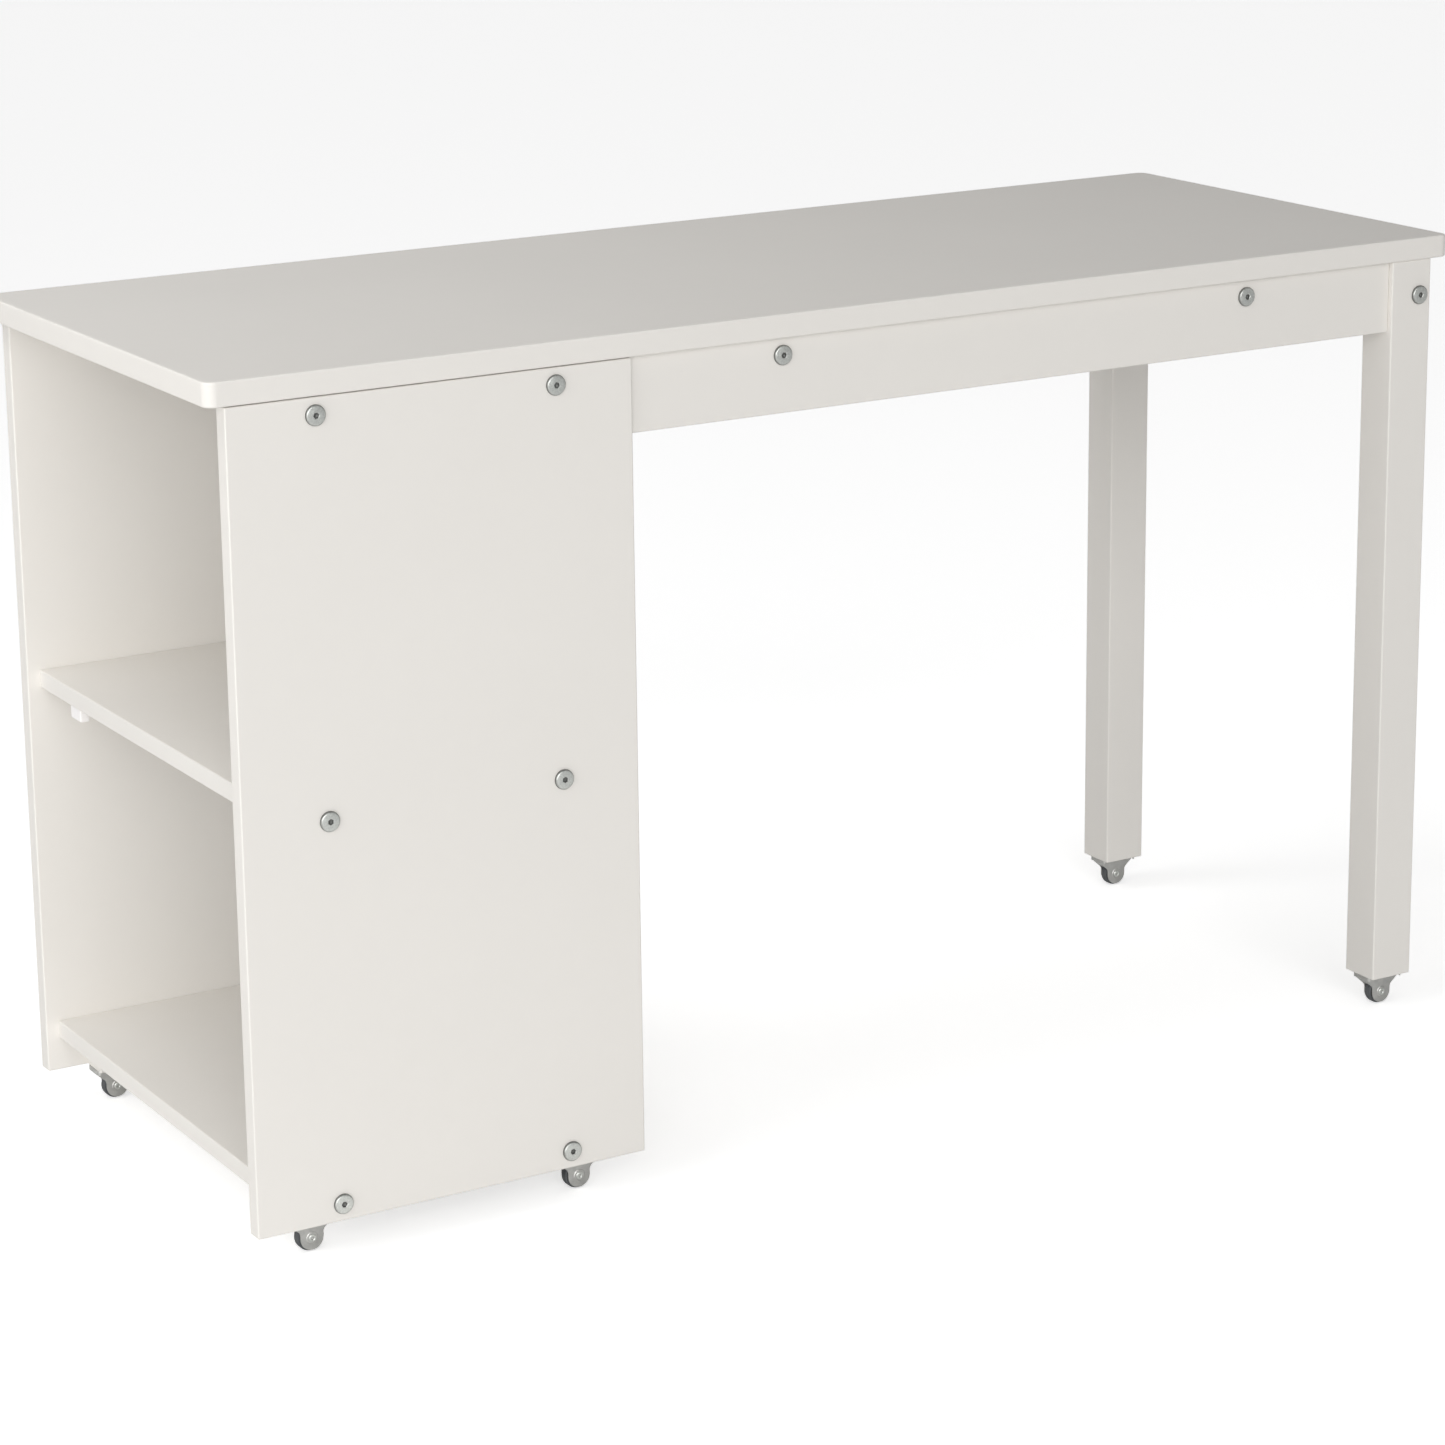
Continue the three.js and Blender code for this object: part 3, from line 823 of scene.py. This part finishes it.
def build_scatter_tree():
    tree = bpy.data.node_groups.new("place_hardware", "GeometryNodeTree")
    face = tree.interface
    face.new_socket("Geometry", in_out="INPUT", socket_type="NodeSocketGeometry")
    face.new_socket("Shape", in_out="INPUT", socket_type="NodeSocketObject")
    size = face.new_socket("Size Factor", in_out="INPUT", socket_type="NodeSocketFloat")
    size.default_value = 1.0
    turn = face.new_socket("Largest Turn", in_out="INPUT", socket_type="NodeSocketFloat")
    turn.default_value = 2 * math.pi
    face.new_socket("Seed", in_out="INPUT", socket_type="NodeSocketInt")
    face.new_socket("Material", in_out="INPUT", socket_type="NodeSocketMaterial")
    face.new_socket("Geometry", in_out="OUTPUT", socket_type="NodeSocketGeometry")

    nodes, links = tree.nodes, tree.links
    start = nodes.new("NodeGroupInput").outputs
    end = nodes.new("NodeGroupOutput")
    info = nodes.new("GeometryNodeObjectInfo")
    links.new(start["Shape"], info.inputs["Object"])

    facing = nodes.new("GeometryNodeInputNamedAttribute")
    facing.data_type = "FLOAT_VECTOR"
    facing.inputs["Name"].default_value = "facing"
    align = nodes.new("FunctionNodeAlignRotationToVector")
    align.axis = "Z"
    links.new(facing.outputs["Attribute"], align.inputs["Vector"])

    spin = nodes.new("FunctionNodeRandomValue")
    spin.data_type = "FLOAT"
    links.new(start["Largest Turn"], spin.inputs[3])
    links.new(start["Seed"], spin.inputs["Seed"])
    about = nodes.new("FunctionNodeAxisAngleToRotation")
    about.inputs["Axis"].default_value = (0, 0, 1)
    links.new(spin.outputs[1], about.inputs["Angle"])
    both = nodes.new("FunctionNodeRotateRotation")
    both.rotation_space = "LOCAL"
    links.new(align.outputs["Rotation"], both.inputs["Rotation"])
    links.new(about.outputs["Rotation"], both.inputs["Rotate By"])

    place = nodes.new("GeometryNodeInstanceOnPoints")
    links.new(start["Geometry"], place.inputs["Points"])
    links.new(info.outputs["Geometry"], place.inputs["Instance"])
    links.new(both.outputs["Rotation"], place.inputs["Rotation"])
    links.new(start["Size Factor"], place.inputs["Scale"])
    real = nodes.new("GeometryNodeRealizeInstances")
    links.new(place.outputs["Instances"], real.inputs["Geometry"])
    paint = nodes.new("GeometryNodeSetMaterial")
    links.new(real.outputs["Geometry"], paint.inputs["Geometry"])
    links.new(start["Material"], paint.inputs["Material"])
    links.new(paint.outputs["Geometry"], end.inputs["Geometry"])
    return tree


scatter_tree = build_scatter_tree()
print("scatter inputs:", [s.name for s in scatter_tree.interface.items_tree])

# %% [markdown]
# A helper runs the tree. It makes the points, sets each input by its socket's identifier before
# anything is evaluated, and copies the result to a plain mesh. The points and the lone copy of
# the shape are then removed, and the modifier goes with them.

# %% Scatter helper


def scatter(name, places, shape_mesh, material, seed=1, turn=2 * math.pi):
    """One plain mesh with a copy of the shape at every (point, facing)."""
    points = bpy.data.meshes.new(name + "_places")
    points.from_pydata([tuple(at) for at, _ in places], [], [])
    facing = points.attributes.new("facing", "FLOAT_VECTOR", "POINT")
    for i, (_, way) in enumerate(places):
        facing.data[i].vector = way
    holder = bpy.data.objects.new(name + "_places", points)
    shape = bpy.data.objects.new(name + "_shape", shape_mesh)
    bpy.context.collection.objects.link(holder)
    modifier = holder.modifiers.new("hardware", "NODES")
    modifier.node_group = scatter_tree
    sockets = {s.name: s.identifier for s in scatter_tree.interface.items_tree
               if s.in_out == "INPUT"}
    modifier[sockets["Shape"]] = shape
    modifier[sockets["Size Factor"]] = 1.0
    modifier[sockets["Largest Turn"]] = turn
    modifier[sockets["Seed"]] = seed
    modifier[sockets["Material"]] = material
    graph = bpy.context.evaluated_depsgraph_get()
    mesh = bpy.data.meshes.new_from_object(holder.evaluated_get(graph))
    mesh.name = name
    bpy.data.objects.remove(holder)
    bpy.data.objects.remove(shape)
    return mesh


# %% [markdown]
# Now the bolts themselves. The plain model says where each one is. A bolt on the near face
# points at the viewer and one on the far face points away, and each head sits on its board.

# %% Bolts
MIDDLE_Y = (cad_bounds[0][1] + cad_bounds[1][1]) / 2


def middle_of(node):
    low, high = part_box(node)
    return (Vector(low) + Vector(high)) / 2


bolt_places = []
for node in BOLT_NODES:
    low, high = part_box(node)
    centre = middle_of(node)
    near = centre.y < MIDDLE_Y
    seat = low[1] + HEAD_HEIGHT if near else high[1] - HEAD_HEIGHT
    bolt_places.append((Vector((centre.x, seat, centre.z)), (0, -1 if near else 1, 0)))
bolt_mesh = scatter("bolt_heads", bolt_places, head_mesh, BOLT_ZINC, seed=7)
new_piece("bolt_heads", bolt_mesh, BOLT_ZINC, BOLT_NODES)
print("bolt heads:", len(bolt_places))

# %% [markdown]
# The caster's housing is pressed from sheet: two cheeks with round lower ends and wide ears, two
# sloping end walls between them, and a mounting plate whose ends are turned down. It could be
# cut from a block, but the real one is sheet, so its parts are made as thin as the sheet and their
# cut edges are rounded. The sizes come first: most are read from the plain caster's own box, so
# that the finished one fits it.

# %% Caster sizes
CASTERS = sorted(n.replace("caster_wheel_", "") for name in bodies for n in bodies[name]
                 if n.startswith("caster_wheel_"))
wheel_low, wheel_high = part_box("caster_wheel_" + CASTERS[0])
bracket_low, bracket_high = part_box("caster_bracket_" + CASTERS[0])
WHEEL_RADIUS = (wheel_high[2] - wheel_low[2]) / 2
WHEEL_WIDTH = wheel_high[1] - wheel_low[1]
PLATE_LENGTH = bracket_high[0] - bracket_low[0]
PLATE_WIDTH = bracket_high[1] - bracket_low[1]
PLATE_TOP = bracket_high[2] - WHEEL_RADIUS
CHEEK_DROP = WHEEL_RADIUS - bracket_low[2]
SHEET = 1.5 * MM
SIDE_PLAY = 1.0 * MM
WHEEL_END_SHOW = 1.75 * MM
MOUTH = WHEEL_WIDTH + 2 * SIDE_PLAY
CHEEK_HALF = WHEEL_RADIUS - WHEEL_END_SHOW
SKIRT = 4.5 * MM
FLARE_DROP = 8.5 * MM
PLATE_CORNER = 3 * MM
print("caster height:", round(bracket_high[2] / MM, 2), "mm; wheel radius:", WHEEL_RADIUS / MM)

# %% [markdown]
# Two ways of making sheet are needed. A flat part is an outline given a thickness. A bent part
# starts as a surface along the middle of the sheet, and is then thickened to both sides. A
# Solidify modifier does the same, but the cut edges have to be rounded after it.

# %% Sheet helpers
SHEET_EASE = 0.3 * MM
EASE_SEGMENTS = 3
SQUARE_RIM = 60


def ease_rims(bm, rim_angle):
    """Every edge sharper than the angle, in degrees, is rounded a little."""
    rims = [e for e in bm.edges if len(e.link_faces) == 2
            and e.calc_face_angle(0) > math.radians(rim_angle)]
    bmesh.ops.bevel(bm, geom=rims, offset=SHEET_EASE, segments=EASE_SEGMENTS, profile=0.5,
                    affect="EDGES")
    return bm


def thickened(bm, rim_angle=30):
    """A surface along the middle of the sheet, given its thickness and soft edges."""
    bmesh.ops.recalc_face_normals(bm, faces=bm.faces)
    for vert in bm.verts:
        vert.normal_update()
    for vert in bm.verts:
        vert.co += vert.normal * (SHEET / 2)
    bmesh.ops.solidify(bm, geom=bm.faces[:], thickness=SHEET)
    bmesh.ops.recalc_face_normals(bm, faces=bm.faces)
    return ease_rims(bm, rim_angle)


def slab(outline, y0, y1):
    """A flat closed plate: an outline in X and Z, from one Y to another, with eased rims."""
    bm = bmesh.new()
    near = [bm.verts.new((x, y0, z)) for x, z in outline]
    far = [bm.verts.new((x, y1, z)) for x, z in outline]
    bm.faces.new(near)
    bm.faces.new(far)
    for i in range(len(outline)):
        j = (i + 1) % len(outline)
        bm.faces.new([near[i], near[j], far[j], far[i]])
    bmesh.ops.recalc_face_normals(bm, faces=bm.faces)
    return ease_rims(bm, SQUARE_RIM)


print("sheet:", SHEET / MM, "mm with", SHEET_EASE / MM, "mm rounding")

# %% [markdown]
# The cheek. Its ears are as wide as the plate. Below them it draws in along a slope, turns down
# round a soft knee, and ends in a round foot about the axle. The foot is half an ellipse, almost
# a circle, that leaves a thin crescent of the wheel showing at its ends and on the floor.

# %% Cheek
EAR_ROUND = 0.64 * MM
KNEE_ROUND = 2.4 * MM
KNEE_STEPS = 4
CHEEK_STEPS = 28


def cheek_outline():
    """The right half goes down the ear and round the knee; the left half mirrors it."""
    ear = PLATE_LENGTH / 2
    ear_bottom = PLATE_TOP - SKIRT
    knee = ear_bottom - FLARE_DROP
    slope = Vector((ear - CHEEK_HALF, FLARE_DROP)).normalized()
    right = [(ear, PLATE_TOP - SHEET / 2), (ear, ear_bottom + EAR_ROUND)]
    right += [(ear - slope.x * EAR_ROUND, ear_bottom - slope.y * EAR_ROUND)]
    for i in range(KNEE_STEPS + 1):
        t = i / KNEE_STEPS
        above = Vector((CHEEK_HALF, knee)) + slope * KNEE_ROUND * (1 - t)
        below = Vector((CHEEK_HALF, knee - KNEE_ROUND * t))
        mixed = above.lerp(below, t)
        right.append((mixed.x, mixed.y))
    bottom = []
    for i in range(CHEEK_STEPS + 1):
        a = -math.pi * i / CHEEK_STEPS
        bottom.append((CHEEK_HALF * math.cos(a), CHEEK_DROP * math.sin(a)))
    left = [(-x, z) for x, z in reversed(right)]
    return right + bottom + left


print("cheek outline points:", len(cheek_outline()))

# %% [markdown]
# The end walls close the housing above the wheel. Each goes down the skirt, then slopes in
# between the cheeks, and stops before it could touch the wheel.

# %% End walls
WALL_SHARE = 0.62


def end_wall(side):
    """The sheet that closes one end: down the skirt, then sloping in towards the wheel."""
    ear = PLATE_LENGTH / 2 - SHEET / 2
    ear_bottom = PLATE_TOP - SKIRT + SHEET / 4
    run = PLATE_LENGTH / 2 - CHEEK_HALF
    path = [(ear, PLATE_TOP - SHEET), (ear, ear_bottom)]
    path.append((ear - run * WALL_SHARE, ear_bottom - FLARE_DROP * WALL_SHARE))
    half = MOUTH / 2 + SHEET / 2
    bm = bmesh.new()
    near = [bm.verts.new((side * x, -half, z)) for x, z in path]
    far = [bm.verts.new((side * x, half, z)) for x, z in path]
    for i in range(len(path) - 1):
        bm.faces.new([near[i], near[i + 1], far[i + 1], far[i]])
    return thickened(bm)


print("end wall covers", WALL_SHARE, "of the slope")

# %% [markdown]
# The mounting plate carries the screws. It is cut with rounded corners and both its ends are
# turned down into a skirt, which makes thin sheet stiff enough for a table. The skirt follows
# the corners round, and the long sides between them stay open.

# %% Mounting plate
CORNER_POINTS = 8


def mounting_plate():
    """A rounded plate with both ends turned down."""
    inset = SHEET / 2
    corner = PLATE_CORNER - inset
    x, y = PLATE_LENGTH / 2 - PLATE_CORNER, PLATE_WIDTH / 2 - PLATE_CORNER
    top = PLATE_TOP - inset
    bm = bmesh.new()
    ring = []
    for cx, cy, start in ((x, -y, -90), (x, y, 0), (-x, y, 90), (-x, -y, 180)):
        for along, across in arc(cx, cy, corner, start, start + 90, CORNER_POINTS):
            ring.append(bm.verts.new((along, across, top)))
    bm.faces.new(ring)
    lowered = {}
    count = len(ring)
    for i in range(count):
        a, b = ring[i], ring[(i + 1) % count]
        if abs(a.co.x) >= x - HAIR and abs(b.co.x) >= x - HAIR and a.co.x * b.co.x > 0:
            low = PLATE_TOP - SKIRT
            for v in (a, b):
                if v not in lowered:
                    lowered[v] = bm.verts.new((v.co.x, v.co.y, low))
            bm.faces.new([a, b, lowered[b], lowered[a]])
    return thickened(bm, rim_angle=50)


print("plate:", round(PLATE_LENGTH / MM, 1), "x", round(PLATE_WIDTH / MM, 1), "mm")

# %% [markdown]
# A housing is two cheeks, two end walls, the plate and two bosses, joined into one mesh and moved
# to its caster. A boss is the low round swelling pressed out of a cheek around the axle. The
# centre of each wheel is the one measure that all of the parts are taken from.

# %% Housings
BOSS_RADIUS = 5.0 * MM
BOSS_HEIGHT = 0.4 * MM


def boss(side):
    """The low round swelling pressed out of a cheek around the axle."""
    seat = MOUTH / 2 + SHEET
    flat, foot = BOSS_RADIUS - BOSS_HEIGHT, BOSS_RADIUS + BOSS_HEIGHT
    profile = [(0, seat + BOSS_HEIGHT), (flat, seat + BOSS_HEIGHT)]
    profile += arc(flat, seat, BOSS_HEIGHT, 90, 30, 3)
    profile += [(foot, seat), (foot, seat - SHEET / 2), (0, seat - SHEET / 2)]
    bm = turned(profile, 40)
    turn = Matrix.Rotation(side * math.pi / 2, 3, "X")
    bmesh.ops.rotate(bm, cent=(0, 0, 0), matrix=turn, verts=bm.verts)
    return bm


def joined(name, parts, centre):
    """Several bmeshes about the axle as one mesh, moved to their caster."""
    whole = bmesh.new()
    for part in parts:
        loose = bpy.data.meshes.new("loose")
        part.to_mesh(loose)
        part.free()
        whole.from_mesh(loose)
        bpy.data.meshes.remove(loose)
    bmesh.ops.translate(whole, vec=centre, verts=whole.verts)
    return mesh_from(whole, name)


axles = {}
for place in CASTERS:
    axles[place] = middle_of("caster_wheel_" + place)
    inner, outer = MOUTH / 2, MOUTH / 2 + SHEET
    parts = [slab(cheek_outline(), -outer, -inner), slab(cheek_outline(), inner, outer)]
    parts += [end_wall(-1), end_wall(1), mounting_plate(), boss(1), boss(-1)]
    mesh = joined("caster_housing_" + place, parts, axles[place])
    node = "caster_bracket_" + place
    new_piece("caster_housing_" + place, mesh, SHEET_ZINC, [node])
print("housings:", CASTERS, "faces:", len(mesh.polygons))

# %% [markdown]
# The wheel is one moulding: a tread with rounded shoulders, a rim, a thin web set back between
# rim and hub, and spokes that stiffen the web. The round part is turned. Each spoke is a bar
# rounded at its edges, copied about the axle. Each wheel is its own piece, since each one turns.

# %% Wheels
HUB_RADIUS = 4.2 * MM
BORE_RADIUS = 2.3 * MM
RIM_DEPTH = 2.4 * MM
WEB_HALF = 1.2 * MM
SPOKES = 6
SPOKE_WIDTH = 1.4 * MM
SPOKE_SET_BACK = 0.8 * MM
SPOKE_OVERLAP = 0.5 * MM
SPOKE_EASE = 0.25 * MM
BORE_CHAMFER = 0.3 * MM
HUB_ROUND = 0.4 * MM
WEB_FILLET = 0.6 * MM
RIM_ROUND = 0.3 * MM
TREAD_ROUND = 1.5 * MM
TREAD_DEPTH = 0.2 * MM
WHEEL_STEPS = 64


def wheel_bmesh():
    half = WHEEL_WIDTH / 2
    rim = WHEEL_RADIUS - RIM_DEPTH
    side = [(BORE_RADIUS, half - BORE_CHAMFER), (BORE_RADIUS + BORE_CHAMFER, half)]
    side += arc(HUB_RADIUS - HUB_ROUND, half - HUB_ROUND, HUB_ROUND, 90, 0, 3)
    side += arc(HUB_RADIUS + WEB_FILLET, WEB_HALF + WEB_FILLET, WEB_FILLET, 180, 270, 3)
    side += arc(rim - WEB_FILLET, WEB_HALF + WEB_FILLET, WEB_FILLET, 270, 360, 3)
    side += arc(rim + RIM_ROUND, half - RIM_ROUND, RIM_ROUND, 180, 90, 2)
    side += arc(WHEEL_RADIUS - TREAD_ROUND, half - TREAD_ROUND, TREAD_ROUND, 90, 0, 6)
    other = [(r, -z) for r, z in reversed(side)]
    bm = turned(side + other, WHEEL_STEPS, closed=True)
    inner, outer = HUB_RADIUS - SPOKE_OVERLAP, rim + SPOKE_OVERLAP
    spoke_half = half - SPOKE_SET_BACK
    for i in range(SPOKES):
        made = bmesh.ops.create_cube(bm, size=1.0)["verts"]
        size = (outer - inner, SPOKE_WIDTH, 2 * spoke_half)
        bmesh.ops.scale(bm, vec=size, verts=made)
        bmesh.ops.translate(bm, vec=((inner + outer) / 2, 0, 0), verts=made)
        around = Matrix.Rotation(2 * math.pi * i / SPOKES, 3, "Z")
        bmesh.ops.rotate(bm, cent=(0, 0, 0), matrix=around, verts=made)
        edges = {e for v in made for e in v.link_edges}
        bmesh.ops.bevel(bm, geom=list(edges), offset=SPOKE_EASE, segments=2,
                        profile=0.5, affect="EDGES")
    layer = bm.verts.layers.float.new("edge")
    for vert in bm.verts:
        vert[layer] = 1.0 if vert.co.xy.length > WHEEL_RADIUS - TREAD_DEPTH else 0.0
    return bm


for place in CASTERS:
    bm = wheel_bmesh()
    bmesh.ops.rotate(bm, cent=(0, 0, 0), matrix=Matrix.Rotation(math.pi / 2, 3, "X"),
                     verts=bm.verts)
    bmesh.ops.translate(bm, vec=axles[place], verts=bm.verts)
    node = "caster_wheel_" + place
    body = next(name for name in bodies if node in bodies[name])
    new_piece("wheel_" + place, mesh_from(bm, "wheel_" + place), WHEEL_PLASTIC,
              [node], body)
print("wheels:", len(CASTERS))

# %% [markdown]
# The axle is a hollow rivet: a shank through the hub, a rolled head on each cheek, and a small
# dark hole down its middle. It is the one bright ring that shows on a caster. The outline makes
# head and hole together, and the scatter tree puts the six in place.

# %% Axles
axle_low, axle_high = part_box("caster_axle_" + CASTERS[0])
RIVET_HALF = (axle_high[1] - axle_low[1]) / 2
RIVET_HEAD = (axle_high[2] - axle_low[2]) / 2
SHANK_RADIUS = 2.0 * MM
RIVET_HOLE = 1.3 * MM
RIVET_HOLE_DEPTH = 3.0 * MM
ROLL_SHARE = 0.98
HOLE_ROLL = 0.6
RIM_ROLL = 0.8
RIVET_STEPS = 32


def rivet_mesh():
    seat = MOUTH / 2 + SHEET
    roll = (RIVET_HALF - seat) * ROLL_SHARE
    hole, rim = roll * HOLE_ROLL, roll * RIM_ROLL
    side = [(0, RIVET_HALF - RIVET_HOLE_DEPTH), (RIVET_HOLE, RIVET_HALF - RIVET_HOLE_DEPTH)]
    side += arc(RIVET_HOLE + hole, RIVET_HALF - hole, hole, 180, 90, 4)
    side += arc(RIVET_HEAD - rim, RIVET_HALF - rim, rim, 90, 0, 5)
    side += [(RIVET_HEAD, seat), (SHANK_RADIUS, seat)]
    other = [(r, -z) for r, z in reversed(side)]
    bm = turned(side + other, RIVET_STEPS)
    # The hole down the middle is painted dark as painted shade.
    dull = bm.verts.layers.float["dull"]
    for vert in bm.verts:
        vert[dull] = 1.0 if vert.co.xy.length < RIVET_HOLE + TINY / 2 else 0.0
    return mesh_from(bm, "rivet_shape")


rivet_places = [(axles[place], (0, -1, 0)) for place in CASTERS]
axle_mesh = scatter("caster_axles", rivet_places, rivet_mesh(), BOLT_ZINC, seed=3)
new_piece("caster_axles", axle_mesh, BOLT_ZINC,
          ["caster_axle_" + place for place in CASTERS])
print("rivets:", len(rivet_places))

# %% [markdown]
# Small hardware that the plain model leaves out. Each caster plate is held by four screws driven
# up into the wood, and the rails are screwed up into the boards above them. A screw's head is a
# low dome. Its cross is pressed into the dome by lowering the vertices that lie in it, which is
# enough for a head of under 5 mm. The scatter tree places them all.

# %% Screws
SCREW_RADIUS = 2.3 * MM
SCREW_RISE = 1.1 * MM
SCREW_SUNK = 0.2 * MM
DOME_CURVE = 2.6
DOME_RINGS = 12
SCREW_STEPS = 40
SCREW_FROM_END = 6.0 * MM
SCREW_FROM_EDGE = 2.75 * MM
CROSS_WIDTH = 0.8 * MM
CROSS_LENGTH = 1.6 * MM
CROSS_DEPTH = 0.8 * MM
CROSS_SLOPE = 0.8
RAIL_SCREWS = 3


def cross_reach(angle, radius):
    """How deep the cross recess is at a point, from 0 to 1."""
    across, along = sorted((abs(radius * math.cos(angle)), abs(radius * math.sin(angle))))
    in_arm = across < CROSS_WIDTH / 2 and along < CROSS_LENGTH
    return 1.0 - along / CROSS_LENGTH * CROSS_SLOPE if in_arm else 0.0


def screw_mesh():
    """A low domed head with a cross recess, modelled as a fine disc pressed down."""
    profile = [(0, SCREW_RISE)]
    for i in range(1, DOME_RINGS + 1):
        t = i / DOME_RINGS
        profile.append((SCREW_RADIUS * t, SCREW_RISE * math.sqrt(1 - t ** DOME_CURVE)))
    profile.append((0, -SCREW_SUNK))
    bm = turned(profile, SCREW_STEPS)
    # The cross recess is painted darker as painted shade, as deep as each vertex is pressed.
    dull = bm.verts.layers.float["dull"]
    for vert in bm.verts:
        r = vert.co.xy.length
        if vert.co.z > TINY:
            angle = math.atan2(vert.co.y, vert.co.x)
            pressed = cross_reach(angle, r)
            vert.co.z -= CROSS_DEPTH * pressed
            vert[dull] = pressed
    return mesh_from(bm, "screw_shape", sharp_angle=50)


plate_under = PLATE_TOP - SHEET
screw_places = []
for place in CASTERS:
    for sx in (-1, 1):
        for sy in (-1, 1):
            offset = Vector((sx * (PLATE_LENGTH / 2 - SCREW_FROM_END),
                             sy * (PLATE_WIDTH / 2 - SCREW_FROM_EDGE), plate_under))
            screw_places.append((axles[place] + offset, (0, 0, -1)))
for node in rails:
    if not node.startswith("bottom"):
        low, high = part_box(node)
        for i in range(RAIL_SCREWS):
            y = low[1] + (high[1] - low[1]) * (i + 0.5) / RAIL_SCREWS
            at = Vector(((low[0] + high[0]) / 2, y, low[2]))
            screw_places.append((at, (0, 0, -1)))
screws = scatter("screws", screw_places, screw_mesh(), BOLT_ZINC, seed=11)
new_piece("screws", screws, BOLT_ZINC)
print("screws:", len(screw_places))

# %% [markdown]
# Every bolt ends in a barrel nut, a steel plug across the rail whose slotted end lies flush with
# the rail's side. Only that end is made: two half discs with the slot between them, raised a
# little from the wood. A screwdriver turns the slot until the thread faces the bolt, so all the
# slots lie almost the same way, and the scatter tree may turn them only a little.

# %% Barrel nuts
NUT_RADIUS = 5.0 * MM
NUT_RISE = 0.25 * MM
NUT_FROM_END = 32.0 * MM
SLOT_WIDTH = 1.2 * MM
NUT_STEPS = 36
NUT_EASE = 0.06 * MM
NUT_TURN = 0.6


def nut_mesh():
    """The end of a barrel nut: a flat disc with a slot across it."""
    bm = bmesh.new()
    start = math.acos(SLOT_WIDTH / 2 / NUT_RADIUS)
    for sign in (1, -1):
        ring = []
        for i in range(NUT_STEPS + 1):
            a = -start + 2 * start * i / NUT_STEPS
            ring.append(bm.verts.new((sign * NUT_RADIUS * math.cos(a),
                                      NUT_RADIUS * math.sin(a), 0)))
        face = bm.faces.new(ring)
        lifted = bmesh.ops.extrude_face_region(bm, geom=[face])
        top = [v for v in lifted["geom"] if isinstance(v, bmesh.types.BMVert)]
        bmesh.ops.translate(bm, vec=(0, 0, NUT_RISE), verts=top)
    bmesh.ops.recalc_face_normals(bm, faces=bm.faces)
    rims = [e for e in bm.edges if e.calc_face_angle(0) > math.radians(SQUARE_RIM)]
    bmesh.ops.bevel(bm, geom=rims, offset=NUT_EASE, segments=1, affect="EDGES")
    layer = bm.verts.layers.float.new("from_axis")
    for vert in bm.verts:
        vert[layer] = vert.co.xy.length
    return mesh_from(bm, "nut_shape")


nut_places = []
for node in rails:
    low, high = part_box(node)
    z = (low[2] + high[2]) / 2
    side = 1 if node.endswith("left") else -1
    x = high[0] if side > 0 else low[0]
    for y in (low[1] + NUT_FROM_END, high[1] - NUT_FROM_END):
        nut_places.append((Vector((x, y, z)), (side, 0, 0)))
low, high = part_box("side_apron")
for y in (low[1] + NUT_FROM_END / 2, high[1] - NUT_FROM_END / 2):
    nut_places.append((Vector((low[0], y, (low[2] + high[2]) / 2)), (-1, 0, 0)))
nuts = scatter("barrel_nuts", nut_places, nut_mesh(), BOLT_ZINC, seed=5, turn=NUT_TURN)
new_piece("barrel_nuts", nuts, BOLT_ZINC)
print("barrel nuts:", len(nut_places))
